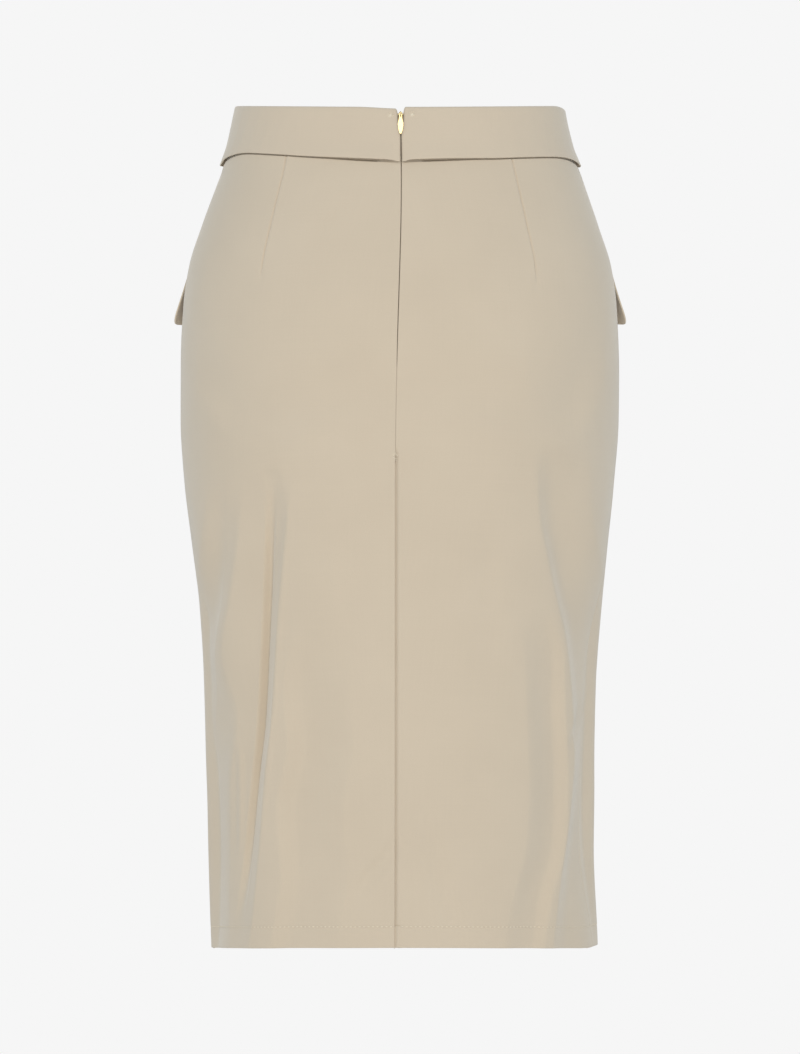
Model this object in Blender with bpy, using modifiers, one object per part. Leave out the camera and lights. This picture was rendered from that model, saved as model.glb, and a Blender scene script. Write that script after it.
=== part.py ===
"""A worn pencil skirt: shaped waistband, back zip, darts, flaps at the hips and a vent.

The skirt keeps the form of the figure that fills it, and is hollow. The origin is the middle
of the waist's top edge. -Y is the back, +Y the front, +X the wearer's right, and +Z is up.
"Left" and "right" are as seen from behind. Sizes below are in millimetres, angles in degrees.

Each sheet of cloth is a grid whose points have two places: a turn round the body (0 is centre
back, 90 the right side, 180 centre front, -90 the left side) and a drop below the waist.
"""

import math

import bmesh
import bpy
import numpy as np
from mathutils import Matrix, Vector

MM = 0.001

# Main sizes
LENGTH = 651.0
CLOTH = 1.2  # wall of the panels
BAND_PLY = 1.0  # wall of each leg of the folded waistband
SEAM_GAP = 0.3  # between two pieces that are sewn together
CORNER_BULGE = 0.02  # how much fuller than an ellipse the body is between its sides and middle
WAIST_DIP = 6.0  # centre back of the waist, below its sides
HEM_LIFT = 7.0  # centre back of the hem, above its sides
DIP_POWER = 1.2  # how closely both keep to the middle of the back
RIGHT_DIP = 3.2  # right side of the waist, below the left
RIGHT_LIFT = 2.4  # right side of the hem, above the left
RIGHT_TURN = 94.0  # where both are greatest
RIGHT_SPREAD = 27.0  # turn either way over which they fade

# The body under the cloth: half widths and depths of the cloth's outer face
SECTION_COLUMNS = ("drop", "left", "right", "back", "front")
SECTIONS = (
    (0, 126.2, 126.4, 87.0, 86.0),
    (15, 129.4, 129.4, 89.4, 88.0),
    (42, 135.6, 136.6, 94.5, 92.0),
    (52, 138.2, 140.4, 98.0, 93.8),
    (61, 141.6, 143.4, 101.0, 95.3),
    (92, 153.0, 154.0, 110.5, 99.5),
    (123, 162.8, 163.8, 118.5, 103.0),
    (155, 167.6, 168.0, 124.8, 105.5),
    (200, 169.6, 169.6, 128.6, 108.0),
    (245, 169.4, 168.9, 127.6, 109.5),
    (293, 166.6, 165.2, 123.4, 110.0),
    (340, 161.0, 160.6, 118.6, 110.0),
    (386, 155.6, 156.0, 115.4, 110.0),
    (448, 151.4, 151.7, 113.2, 110.0),
    (510, 149.7, 150.4, 112.8, 110.0),
    (572, 148.2, 150.3, 113.4, 110.4),
    (634, 146.8, 152.5, 114.0, 111.0),
    (651, 146.2, 153.0, 114.0, 111.0),
)

# Where the seams run: across from the middle at centre back, turned from it at the sides
SEAM_COLUMNS = ("drop", "centre", "left", "right")
SEAMS = (
    (0, 0.4, 90.0, 89.0),
    (60, 1.0, 90.0, 89.0),
    (200, -2.3, 90.0, 88.0),
    (270, -3.4, 90.0, 86.5),
    (450, -3.5, 90.0, 80.0),
    (576, -3.7, 89.0, 75.5),
    (651, -3.9, 88.0, 79.5),
)

# Half of the opening at centre back: wide round the slider, a slit over the zip, then a seam
SLIT_COLUMNS = ("drop", "half")
SLIT = (
    (0, 4.2),
    (3.5, 3.0),
    (10, 2.6),
    (15, 1.8),
    (21, 0.7),
    (60, 0.75),
    (150, 0.65),
    (200, 0.45),
    (208, SEAM_GAP / 2),
    (LENGTH, SEAM_GAP / 2),
)

# The waistband: one strip folded over the top edge, its outer leg free along the bottom
BAND_COLUMNS = ("turn", "left", "right")
BAND_DEPTH = (
    (0, 43.9, 43.4),
    (5, 42.4, 42.2),
    (30, 40.0, 41.8),
    (58, 37.4, 40.2),
    (78, 41.6, 43.2),
    (90, 46.8, 45.0),
    (112, 44.0, 44.0),
    (180, 43.0, 43.0),
)
BAND_OUTSIDE = 1.3  # the strip's outer face, outside the skirt's
BAND_STAND_OFF = 1.3  # further out at its free lower edge
BAND_SIDE_STAND_OFF = 0.4  # and more still at the sides
BAND_SIDE_POWER = 6  # how closely that keeps to the sides
BAND_STAND_OFF_HEIGHT = 16.0
BAND_MIDDLE = 20.0  # drop to about the middle of the band
BAND_TIE = 9.0  # width beside the zip over which the edge is drawn in
BAND_OVERLAP = 9.0  # how far the skirt's top edge reaches up inside the fold
BAND_INNER_SHORT = 2.0  # the inner leg ends this far above the outer one

# Darts, as shallow creases
DART_TURN = 39.2
DART_COLUMNS = ("place", "turn", "top", "tip")
DARTS = (
    ("back left", -DART_TURN, 48, 136),
    ("back right", DART_TURN, 48, 136),
    ("front right", 180 - 37.0, 48, 114),
    ("front left", 180 + 37.0, 48, 114),
)
DART_DEPTH = 0.7
DART_HALF_TURN = 1.7
DART_TOP_FADE = 8.0
DART_TIP_FADE = 20.0

# The largest soft folds, each a trough along a bowed line on the back or the front
FOLD_COLUMNS = ("side", "x_top", "drop_top", "x_low", "drop_low", "bow", "half_width", "depth")
FOLDS = (
    ("back", -97, 258, -113, 600, 8, 17, 2.6),
    ("back", -138, 430, -134, 600, -3, 9, 1.4),
    ("back", -92, 560, -88, 660, 0, 16, 1.8),
    ("back", 106, 275, 139, 480, -5, 13, 2.0),
    ("back", 108, 410, 96, 660, 4, 20, 2.2),
    ("back", -120, 250, 122, 250, 0, 13, 0.9),
    ("back", -46, 505, -58, 640, 6, 15, 1.1),
    ("front", -108, 235, -92, 585, -9, 17, 2.2),
    ("front", 98, 265, 112, 560, 7, 16, 2.3),
    ("front", 44, 400, 62, 660, -6, 18, 1.6),
    ("front", -30, 470, -44, 660, 5, 16, 1.3),
)
FOLD_TAPER = 0.3  # share of a fold's length over which each end fades
FOLD_SIDE_FADE = 6.0  # how sharply the folds stop short of the side seams

# Vent: the left panel laps over a strip that is cut on to the right panel
VENT_TOP = 274.0
UNDERLAP = 40.0
UNDERLAP_SLANT = 0.45  # fall of its top edge, for each unit away from the seam
UNDERLAP_SLANT_FADE = 70.0  # the rows below level out over this drop
UNDERLAP_COLUMNS = (-1.0, -0.75, -0.5, -0.25)
LAP_DROP = CLOTH + 0.5  # the strip lies this far inside the outer face
LAP_RAMP = 9.0  # width over which the right panel rises from the lap to the surface
LAP_START = 22.0  # the right panel begins to sink this far above the vent
LAP_RUN = 20.0

# Pocket flaps: sewn along the top, the lower edge standing out
FLAP_COLUMNS = ("side", "near", "far", "top", "stand_near", "stand_far")
FLAPS = (
    ("left", 262.0, 207.0, 120.5, 8.6, 3.0),
    ("right", 98.0, 153.0, 119.0, 9.4, 3.4),
)
FLAP_HEIGHT = 48.0
FLAP_CLOTH = 1.2
FLAP_CORNER = 12.0
FLAP_CURL = 1.9  # power of the outward curl
FLAP_LIFT = 0.1  # clear of the seam gap, so that a curved panel never touches

# Zip
TAPE_TOP = 5.5
TAPE_END = 206.0
TAPE_WIDTH = 13.0
TAPE_CLOTH = 0.8
TAPE_INSIDE_BAND = 2.8
TAPE_INSIDE_SKIRT = CLOTH + 0.4
TAPE_EDGE_COLUMNS = ("drop", "edge")
TAPE_EDGE = ((0, 2.8), (13, 2.8), (17, 0.2), (LENGTH, 0.2))
TAPE_STEP = 43.0  # below the band the tape comes up to the panel's inner face
TAPE_STEP_RUN = 8.0
PIVOT_DROP = 5.4
PIVOT_OUT = 0.7  # outside the band's face
SLIDER_WIDTH = 3.8
SLIDER_TOP = 1.7  # above the pivot
SLIDER_BOTTOM = 4.6  # below the pivot
SLIDER_DEPTH = 6.5
SLIDER_ROUNDING = 0.5
SLIDER_LEAN = 16.0  # the slider leans as the band's face does over this drop
SLIDER_WING_WIDTH = 7.6
SLIDER_WING = 1.0
WING_BELOW = 1.5  # the wing ends this far below the core
WING_SHORT = 0.3  # and starts this far below its top
WING_LIP = 0.1  # and its inner face lies this far past the core's
WING_ROUNDING = 0.3
CROWN_WIDTH = 0.7
CROWN_BAR = 0.9
CROWN_TOP = 1.2
CROWN_BOTTOM = 2.2
CROWN_RISE = 1.2
CROWN_ROOT = 0.6  # depth of the crown's foot in the core
CROWN_ROUNDING = 0.25
CROWN_WALL = 0.45  # cut from the bar's inner side, so that the pull's eye clears it
OVERLAP = 0.02  # joined blocks share this much, so that no faces coincide
PULL_THICKNESS = 0.9
EYE_HALF_WIDTH = 0.62
EYE_TOP = -0.45
EYE_BOTTOM = -3.7
EYE_ROUND = 0.55  # where the eye's straight sides end, as a share of its half height
PULL_COLUMNS = ("below_pivot", "half_width")
PULL_OUTLINE = (
    (-0.5, 0.0),
    (0.1, 1.0),
    (3.4, 1.25),
    (6.2, 1.75),
    (8.9, 2.25),
    (12.2, 1.65),
    (14.7, 0.75),
    (15.3, 0.0),
)

# How finely the sheets are divided
NEAR_BAND = (7.0, 13.0, 22.0)  # extra rows this far below a panel's top edge
ROW_MARGIN = 5.0
DART_CLEAR = 1.8  # no other column comes nearer to a dart than this many half widths
BAND_ROW_POWER = 1.3  # the band's rows gather towards its lower edge
BACK_COLUMNS = 15
FRONT_COLUMNS = 29
PANEL_ROWS = 38
SLIT_MARGINS = (0.0, 0.022, 0.048)  # extra columns beside centre back, as shares of a half back
BAND_LEG_ROWS = 4
BAND_FOLD_STEPS = 3
FLAP_CORNER_STEPS = 4
FLAP_MIDDLE_COLUMNS = 7
FLAP_ROWS = 7
TAPE_ROWS = 17
SHARP_ANGLE = 40.0
MERGE = 0.01

CLOTH_COLOUR = (0.595, 0.512, 0.378, 1)
BAND_COLOUR = (0.610, 0.527, 0.392, 1)
TAPE_COLOUR = (0.520, 0.440, 0.320, 1)
METAL_COLOUR = (0.800, 0.680, 0.430, 1)


def ease(x):
    """0 to 1, level at both ends."""
    x = np.clip(x, 0.0, 1.0)
    return x * x * (3 - 2 * x)


def table_curve(table, columns, name):
    """A smooth function through one column of a table, over its first column."""
    at = np.array([row[0] for row in table], float)
    value = np.array([row[columns.index(name)] for row in table], float)
    step = np.diff(value) / np.diff(at)
    slope = np.concatenate([step[:1], np.zeros(len(at) - 2), step[-1:]])
    for i in range(1, len(at) - 1):
        before, after = step[i - 1], step[i]
        if before * after > 0:
            slope[i] = 2 * before * after / (before + after)

    def read(x):
        x = np.clip(x, at[0], at[-1])
        i = np.clip(np.searchsorted(at, x, side="right") - 1, 0, len(at) - 2)
        gap = at[i + 1] - at[i]
        t = (x - at[i]) / gap
        start = value[i] * (1 + 2 * t) * (1 - t) ** 2 + slope[i] * gap * t * (1 - t) ** 2
        end = value[i + 1] * t * t * (3 - 2 * t) + slope[i + 1] * gap * t * t * (t - 1)
        return start + end

    return read


LEFT, RIGHT, BACK, FRONT = (
    table_curve(SECTIONS, SECTION_COLUMNS, name) for name in SECTION_COLUMNS[1:]
)
SEAM_CENTRE, SEAM_LEFT, SEAM_RIGHT = (
    table_curve(SEAMS, SEAM_COLUMNS, name) for name in SEAM_COLUMNS[1:]
)
BAND_LEFT, BAND_RIGHT = (
    table_curve(BAND_DEPTH, BAND_COLUMNS, name) for name in BAND_COLUMNS[1:]
)
SLIT_HALF = table_curve(SLIT, SLIT_COLUMNS, "half")
TAPE_INNER_EDGE = table_curve(TAPE_EDGE, TAPE_EDGE_COLUMNS, "edge")


def body(turn, drop):
    """Points of the smooth form, before its folds."""
    t = np.radians(turn)
    across, along = np.sin(t), np.cos(t)
    left, right, back, front = LEFT(drop), RIGHT(drop), BACK(drop), FRONT(drop)
    width = (right + left) / 2 + (right - left) / 2 * across
    depth = (back + front) / 2 + (back - front) / 2 * along
    full = 1 + CORNER_BULGE * np.sin(2 * t) ** 2
    share = np.clip(drop / LENGTH, 0, 1)
    dip = np.clip(along, 0, 1) ** DIP_POWER * (WAIST_DIP * (1 - share) - HEM_LIFT * share)
    from_right = np.abs(np.mod(turn - RIGHT_TURN + 180, 360) - 180)
    tilt = RIGHT_DIP * (1 - share) - RIGHT_LIFT * share
    dip = dip + (1 - ease(from_right / RIGHT_SPREAD)) * tilt
    return np.stack([width * across * full, -depth * along * full, -(drop + dip)], axis=-1)


def outward(turn, drop):
    """Unit vectors that point out of the smooth form."""
    round_it = body(turn + 0.5, drop) - body(turn - 0.5, drop)
    up_it = body(turn, drop - 1.0) - body(turn, drop + 1.0)
    normal = np.cross(round_it, up_it)
    return normal / np.linalg.norm(normal, axis=-1, keepdims=True)


def fold(turn, drop):
    """How far the folds and darts push the cloth out; negative is in."""
    x = body(turn, drop)[..., 0]
    facing_back = np.cos(np.radians(turn))
    push = np.zeros_like(x)
    for row in FOLDS:
        f = dict(zip(FOLD_COLUMNS, row))
        run = np.hypot(f["x_low"] - f["x_top"], f["drop_low"] - f["drop_top"])
        along = np.array([f["x_low"] - f["x_top"], f["drop_low"] - f["drop_top"]]) / run
        from_top = (x - f["x_top"]) * along[0] + (drop - f["drop_top"]) * along[1]
        s = from_top / run
        aside = (x - f["x_top"]) * along[1] - (drop - f["drop_top"]) * along[0]
        aside = (aside - f["bow"] * 4 * s * (1 - s)) / f["half_width"]
        ends = ease(s / FOLD_TAPER) * ease((1 - s) / FOLD_TAPER)
        faces = facing_back if f["side"] == "back" else -facing_back
        trough = np.where(np.abs(aside) < 1, np.cos(np.pi / 2 * aside) ** 2, 0)
        push -= f["depth"] * trough * ends * ease(faces * FOLD_SIDE_FADE)
    for row in DARTS:
        d = dict(zip(DART_COLUMNS, row))
        away = (np.mod(turn, 360) - d["turn"] % 360) / DART_HALF_TURN
        line = ease((drop - d["top"]) / DART_TOP_FADE + 1) * ease((d["tip"] - drop) / DART_TIP_FADE)
        push -= DART_DEPTH * np.clip(1 - np.abs(away), 0, 1) * line
    return push


def skin(turn, drop, out=0.0):
    """Points of the cloth, moved out from the skirt's outer face."""
    out = np.asarray(out + fold(turn, drop))
    return body(turn, drop) + outward(turn, drop) * out[..., None]


def band_depth(turn):
    """Height of the waistband at a turn."""
    t = np.mod(turn + 180, 360) - 180
    across = np.sin(np.radians(t))
    right_share = (1 + across) / 2
    left, right = BAND_LEFT(np.abs(t)), BAND_RIGHT(np.abs(t))
    return left * (1 - right_share) + right * right_share


def centre_turn(drop):
    """The turn of the centre back line."""
    return np.degrees(SEAM_CENTRE(drop) / LEFT(drop))


def back_per_degree(drop):
    """Millimetres along the cloth for one degree at centre back."""
    return np.radians(RIGHT(drop))


def side_per_degree(drop):
    """Millimetres along the cloth for one degree at the sides."""
    return np.radians((BACK(drop) + FRONT(drop)) / 2)


def edges(panel, drop, inset):
    """The turns of a panel's two edges, inset at centre back and half a seam gap at the sides."""
    at_side = SEAM_GAP / 2 / side_per_degree(drop)
    at_centre = inset / back_per_degree(drop)
    if panel == "back_right":
        return centre_turn(drop) + at_centre, SEAM_RIGHT(drop) - at_side
    if panel == "back_left":
        return -SEAM_LEFT(drop) + at_side, centre_turn(drop) - at_centre
    return SEAM_RIGHT(drop) + at_side, 360 - SEAM_LEFT(drop) - at_side


def columns_of(panel):
    """Places of a panel's columns between its edges, 0 to 1, with three on each dart."""
    if panel == "front":
        places = list(np.linspace(0, 1, FRONT_COLUMNS))
        start, end = SEAM_RIGHT(0), 360 - SEAM_LEFT(0)
        darts = [row[1] for row in DARTS if row[0].startswith("front")]
    else:
        places = list(np.linspace(0, 1, BACK_COLUMNS)) + list(SLIT_MARGINS)
        start, end = 0.0, SEAM_LEFT(0)
        darts = [DART_TURN]
    wide = DART_HALF_TURN / (end - start)
    for dart in darts:
        middle = (dart - start) / (end - start)
        places = [p for p in places if abs(p - middle) > DART_CLEAR * wide]
        places += [middle - wide, middle, middle + wide]
    places = sorted(set(places))
    return [1 - p for p in reversed(places)] if panel == "back_left" else places


def new_material(name, colour, roughness, metallic=0.0):
    material = bpy.data.materials.new(name)
    material.use_nodes = True
    shader = material.node_tree.nodes["Principled BSDF"]
    shader.inputs["Base Color"].default_value = colour
    shader.inputs["Roughness"].default_value = roughness
    shader.inputs["Metallic"].default_value = metallic
    return material


def new_object(name, mesh, material, collection):
    """An object for a mesh, shaded smooth over its gentle edges."""
    mesh.materials.append(material)
    mesh.shade_smooth()
    mesh.set_sharp_from_angle(angle=math.radians(SHARP_ANGLE))
    piece = bpy.data.objects.new(name, mesh)
    collection.objects.link(piece)
    return piece


def sheet(name, columns, rows, place, wall, material, collection, leave_out=None):
    """A grid of cloth, each point put in its place, with its wall on the inner side.

    Columns run with the turn and rows from the lowest up. place(column, row) takes arrays.
    """
    bm = bmesh.new()
    bmesh.ops.create_grid(
        bm, x_segments=len(columns) - 1, y_segments=len(rows) - 1, size=1.0
    )
    grid = np.array([v.co[:2] for v in bm.verts])
    step = np.rint((grid + 1) / 2 * [len(columns) - 1, len(rows) - 1]).astype(int)
    column, row = np.array(columns)[step[:, 0]], np.array(rows)[step[:, 1]]
    if leave_out is not None:
        gone = [
            face
            for face in bm.faces
            if leave_out(
                np.mean([column[v.index] for v in face.verts]),
                np.mean([row[v.index] for v in face.verts]),
            )
        ]
    for vert, point in zip(bm.verts, place(column, row)):
        vert.co = Vector(point * MM)
    if leave_out is not None:
        bmesh.ops.delete(bm, geom=gone, context="FACES")
    mesh = bpy.data.meshes.new(name)
    bm.to_mesh(mesh)
    bm.free()
    piece = new_object(name, mesh, material, collection)
    solidify = piece.modifiers.new("Wall", "SOLIDIFY")
    solidify.thickness = wall * MM
    solidify.offset = -1.0
    solidify.use_even_offset = True
    return piece


def panel_drop(turn, row):
    """Drop of a row: 1 is the top edge inside the waistband, 0 the hem."""
    top = band_depth(turn) - BAND_OVERLAP
    return LENGTH - row * (LENGTH - top)


def panel_rows():
    """Rows from the hem up, with closer ones below the waistband."""
    even = np.linspace(0, 1, PANEL_ROWS)
    tall = LENGTH - (BAND_LEFT(180) - BAND_OVERLAP)
    near_band = 1 - np.array(NEAR_BAND) / tall
    rows = [r for r in even if r < near_band.min() - ROW_MARGIN / tall]
    rows += list(near_band)
    return sorted(rows + [1.0])


def make_panel(name, panel, material, collection):
    """The front, or the left half of the back."""

    def place(column, row):
        drop = panel_drop(np.full_like(row, 90.0), row)
        for _ in range(2):  # the top edge follows the band, whose height depends on the turn
            start, end = edges(panel, drop, SLIT_HALF(drop))
            turn = start + (end - start) * column
            drop = panel_drop(turn, row)
        return skin(turn, drop)

    return sheet(name, columns_of(panel), panel_rows(), place, CLOTH, material, collection)


def make_vent_panel(name, material, collection):
    """The right half of the back, with the strip that lies under the vent's edge cut on to it."""
    rows = panel_rows()
    vent_row = max(r for r in rows if panel_drop(0.0, r) > VENT_TOP)

    def place(column, row):
        drop = panel_drop(np.full_like(row, 45.0), row)
        for _ in range(2):
            start, end = edges("back_right", drop, SLIT_HALF(drop))
            turn = start + (end - start) * np.clip(column, 0, 1)
            drop = panel_drop(turn, row)
        beyond = np.clip(-column, 0, 1) * UNDERLAP
        turn = turn - beyond / back_per_degree(drop)
        fade = 1 - ease((drop - VENT_TOP) / UNDERLAP_SLANT_FADE)
        drop = drop + beyond * UNDERLAP_SLANT * fade
        from_line = (turn - centre_turn(drop)) * back_per_degree(drop)
        lapped = ease((drop - VENT_TOP + LAP_START) / LAP_RUN)
        inside = LAP_DROP * lapped * (1 - ease(from_line / LAP_RAMP))
        return skin(turn, drop, -inside)

    def above_vent(column, row):
        return column < 0 and row > vent_row

    return sheet(
        name,
        list(UNDERLAP_COLUMNS) + columns_of("back_right"),
        rows,
        place,
        CLOTH,
        material,
        collection,
        leave_out=above_vent,
    )


def make_band(name, panel, material, collection):
    """A strip of the waistband, folded over its top edge with the skirt's edge between its legs."""
    inside = -(CLOTH + SEAM_GAP + BAND_PLY)  # outer face of the inner leg
    fold_radius = (BAND_OUTSIDE - inside) / 2
    # A row is 0 at the outer leg's lower edge, 1 at its top, 2 past the fold and 3 at the end
    legs = np.linspace(0, 1, BAND_LEG_ROWS) ** BAND_ROW_POWER
    over = np.linspace(1, 2, BAND_FOLD_STEPS + 2)[1:-1]
    rows = list(legs) + list(over) + list(3 - legs[::-1])

    def place(column, row):
        start, end = edges(panel, BAND_MIDDLE, 0.0)
        depth = band_depth(start + (end - start) * column)
        outer = fold_radius + (depth - fold_radius) * (1 - np.clip(row, 0, 1))
        inner = fold_radius + (depth - BAND_INNER_SHORT - fold_radius) * np.clip(row - 2, 0, 1)
        lean = np.pi * np.clip(row - 1, 0, 1)
        drop = np.where(row <= 1, outer, np.where(row >= 2, inner, fold_radius))
        drop = np.where((row > 1) & (row < 2), fold_radius * (1 - np.sin(lean)), drop)
        out = (BAND_OUTSIDE + inside) / 2 + fold_radius * np.cos(lean)
        near_edge = 1 - (depth - drop) / BAND_STAND_OFF_HEIGHT
        start, end = edges(panel, drop, SLIT_HALF(drop))
        turn = start + (end - start) * column
        to_side = np.sin(np.radians(turn)) ** BAND_SIDE_POWER
        stand_off = BAND_STAND_OFF + BAND_SIDE_STAND_OFF * to_side
        from_zip = np.abs(np.mod(turn + 180, 360) - 180) * back_per_degree(drop)
        stand_off = stand_off * ease(from_zip / BAND_TIE)
        out = out + np.where(row < 1, stand_off * ease(near_edge), 0)
        return body(turn, drop) + outward(turn, drop) * out[..., None]

    return sheet(name, columns_of(panel), rows, place, BAND_PLY, material, collection)


def make_flap(name, row, material, collection):
    """A pocket flap: its points are the panel's, moved out, more so towards its free edge."""
    f = dict(zip(FLAP_COLUMNS, row))
    low, high = sorted((f["near"], f["far"]))
    span = np.linspace(low, high, 20)
    along = skin(span, np.full_like(span, f["top"] + FLAP_HEIGHT / 2))
    width = np.linalg.norm(np.diff(along, axis=0), axis=1).sum()
    round_corner = np.linspace(0, np.pi / 2, FLAP_CORNER_STEPS + 1)[:-1]
    corner = FLAP_CORNER * (1 - np.cos(round_corner)) / width
    middle = np.linspace(FLAP_CORNER / width, 1 - FLAP_CORNER / width, FLAP_MIDDLE_COLUMNS)
    columns = list(corner) + list(middle) + list(1 - corner[::-1])

    def place(column, row):
        from_end = np.minimum(column, 1 - column) * width
        short = np.clip(FLAP_CORNER - from_end, 0, FLAP_CORNER)
        height = FLAP_HEIGHT - (FLAP_CORNER - np.sqrt(FLAP_CORNER**2 - short**2))
        down = (1 - row) * height
        turn = low + (high - low) * column
        near_share = np.abs(turn - f["far"]) / (high - low)
        stand = f["stand_far"] + (f["stand_near"] - f["stand_far"]) * near_share
        curl = stand * (down / FLAP_HEIGHT) ** FLAP_CURL
        return skin(turn, f["top"] + down, FLAP_CLOTH + SEAM_GAP + FLAP_LIFT + curl)

    return sheet(
        name,
        columns,
        list(np.linspace(0, 1, FLAP_ROWS)),
        place,
        FLAP_CLOTH,
        material,
        collection,
    )


def make_tape(name, side, material, collection):
    """One tape of the zip, lying inside the band and the panel."""

    def place(column, row):
        drop = TAPE_END - row * (TAPE_END - TAPE_TOP)
        edge = TAPE_INNER_EDGE(drop)
        from_line = edge + (TAPE_WIDTH - edge) * (column if side > 0 else 1 - column)
        turn = centre_turn(drop) + side * from_line / back_per_degree(drop)
        below_band = ease((drop - TAPE_STEP) / TAPE_STEP_RUN)
        inside = TAPE_INSIDE_BAND + (TAPE_INSIDE_SKIRT - TAPE_INSIDE_BAND) * below_band
        return skin(turn, drop, -inside)

    rows = np.linspace(0, 1, TAPE_ROWS)
    bends = np.array([TAPE_EDGE[1][0], TAPE_EDGE[2][0], TAPE_STEP, TAPE_STEP + TAPE_STEP_RUN])
    bends = (TAPE_END - bends) / (TAPE_END - TAPE_TOP)
    apart = 1 / (3 * TAPE_ROWS)
    rows = sorted([r for r in rows if np.abs(bends - r).min() > apart] + list(bends))
    return sheet(name, [0.0, 0.5, 1.0], rows, place, TAPE_CLOTH, material, collection)


def zip_frame():
    """The place and axes of the slider: +X across, +Y into the body, +Z up along the band."""
    turn = float(centre_turn(PIVOT_DROP))
    face = [
        body(turn, drop) + outward(turn, drop) * BAND_OUTSIDE
        for drop in (PIVOT_DROP, PIVOT_DROP + SLIDER_LEAN)
    ]
    up = Vector(face[0] - face[1]).normalized()
    up.x = 0
    up.normalize()
    across = Vector((1, 0, 0))
    inwards = up.cross(across)
    place = Vector(face[0]) - inwards * PIVOT_OUT
    turned = Matrix((across, inwards, up)).transposed().to_4x4()
    return Matrix.Translation(place * MM) @ turned


def block(name, low, high, frame, material, collection, rounding=0.0):
    """A block between two corners in the slider's frame."""
    low, high = Vector(low) * MM, Vector(high) * MM
    mesh = bpy.data.meshes.new(name)
    bm = bmesh.new()
    size = Matrix.Diagonal(high - low).to_4x4()
    bmesh.ops.create_cube(bm, size=1.0, matrix=Matrix.Translation((low + high) / 2) @ size)
    bm.to_mesh(mesh)
    bm.free()
    piece = new_object(name, mesh, material, collection)
    piece.matrix_world = frame
    if rounding:
        bevel = piece.modifiers.new("Rounded edges", "BEVEL")
        bevel.width = rounding * MM
        bevel.segments = 2
    return piece


def unite(piece, other):
    """Joins another object to a piece, and leaves it as a guide."""
    other.hide_render = True
    other.display_type = "WIRE"
    union = piece.modifiers.new(other.name, "BOOLEAN")
    union.operation = "UNION"
    union.object = other


def make_slider(frame, material, collection, guides):
    """The slider's core fills the slit, a wing lies inside and a crown holds the pull."""
    face = PIVOT_OUT  # +Y is inwards, so the band's face is this far in from the pivot
    half = SLIDER_WIDTH / 2
    core = block(
        "zip_slider",
        (-half, face - OVERLAP, -SLIDER_BOTTOM),
        (half, face + SLIDER_DEPTH, SLIDER_TOP),
        frame,
        material,
        collection,
        rounding=SLIDER_ROUNDING,
    )
    wing_half = SLIDER_WING_WIDTH / 2
    wing = block(
        "slider_wing",
        (-wing_half, face + SLIDER_DEPTH - SLIDER_WING, -SLIDER_BOTTOM - WING_BELOW),
        (wing_half, face + SLIDER_DEPTH + WING_LIP, SLIDER_TOP - WING_SHORT),
        frame,
        material,
        guides,
        rounding=WING_ROUNDING,
    )
    reach = CROWN_BAR + CROWN_RISE
    crown = block(
        "slider_crown",
        (-CROWN_WIDTH / 2, face - reach - CROWN_ROUNDING, -CROWN_BOTTOM - CROWN_BAR / 2),
        (CROWN_WIDTH / 2, face + CROWN_ROOT, CROWN_TOP + CROWN_BAR / 2),
        frame,
        material,
        guides,
        rounding=CROWN_ROUNDING,
    )
    hollow = block(
        "crown_hollow",
        (-CROWN_WIDTH, -CROWN_RISE + CROWN_WALL, -CROWN_BOTTOM + CROWN_BAR / 2),
        (CROWN_WIDTH, face - OVERLAP, CROWN_TOP - CROWN_BAR / 2),
        frame,
        material,
        guides,
    )
    hollow.hide_render = True
    hollow.display_type = "WIRE"
    cut = crown.modifiers.new("Hollow", "BOOLEAN")
    cut.operation = "DIFFERENCE"
    cut.object = hollow
    unite(core, wing)
    unite(core, crown)
    return core


def closed_spline(curve, points):
    """A closed smooth outline through points in the curve's plane."""
    spline = curve.splines.new("BEZIER")
    spline.bezier_points.add(len(points) - 1)
    for knot, (x, y) in zip(spline.bezier_points, points):
        knot.co = (x * MM, y * MM, 0)
        knot.handle_left_type = "AUTO"
        knot.handle_right_type = "AUTO"
    spline.use_cyclic_u = True


def make_pull(frame, material, collection):
    """The teardrop pull, hung from the crown by its eye. Its origin is on its pivot."""
    curve = bpy.data.curves.new("zip_pull", "CURVE")
    curve.dimensions = "2D"
    curve.fill_mode = "BOTH"
    curve.extrude = PULL_THICKNESS / 2 * MM
    curve.resolution_u = 5
    right = [(half, -below) for below, half in PULL_OUTLINE if half > 0]
    left = [(-x, y) for x, y in reversed(right)]
    closed_spline(
        curve, [(0, -PULL_OUTLINE[0][0])] + right + [(0, -PULL_OUTLINE[-1][0])] + left
    )
    middle, tall = (EYE_TOP + EYE_BOTTOM) / 2, (EYE_TOP - EYE_BOTTOM) / 2
    closed_spline(
        curve,
        [
            (0, middle + tall),
            (EYE_HALF_WIDTH, middle + tall * EYE_ROUND),
            (EYE_HALF_WIDTH, middle - tall * EYE_ROUND),
            (0, middle - tall),
            (-EYE_HALF_WIDTH, middle - tall * EYE_ROUND),
            (-EYE_HALF_WIDTH, middle + tall * EYE_ROUND),
        ],
    )
    flat = bpy.data.objects.new("pull_outline", curve)
    collection.objects.link(flat)
    bpy.context.view_layer.update()
    mesh = bpy.data.meshes.new_from_object(flat.evaluated_get(bpy.context.evaluated_depsgraph_get()))
    bpy.data.objects.remove(flat)
    mesh.name = "zip_pull"
    bm = bmesh.new()
    bm.from_mesh(mesh)
    bmesh.ops.remove_doubles(bm, verts=bm.verts, dist=MERGE * MM)
    # The outline lies in X and Y, and the pull hangs in X and Z
    bmesh.ops.rotate(bm, verts=bm.verts, matrix=Matrix.Rotation(math.pi / 2, 3, "X"))
    bm.to_mesh(mesh)
    bm.free()
    mesh.materials.clear()
    pull = new_object("zip_pull", mesh, material, collection)
    pull.matrix_world = frame
    return pull


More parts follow.
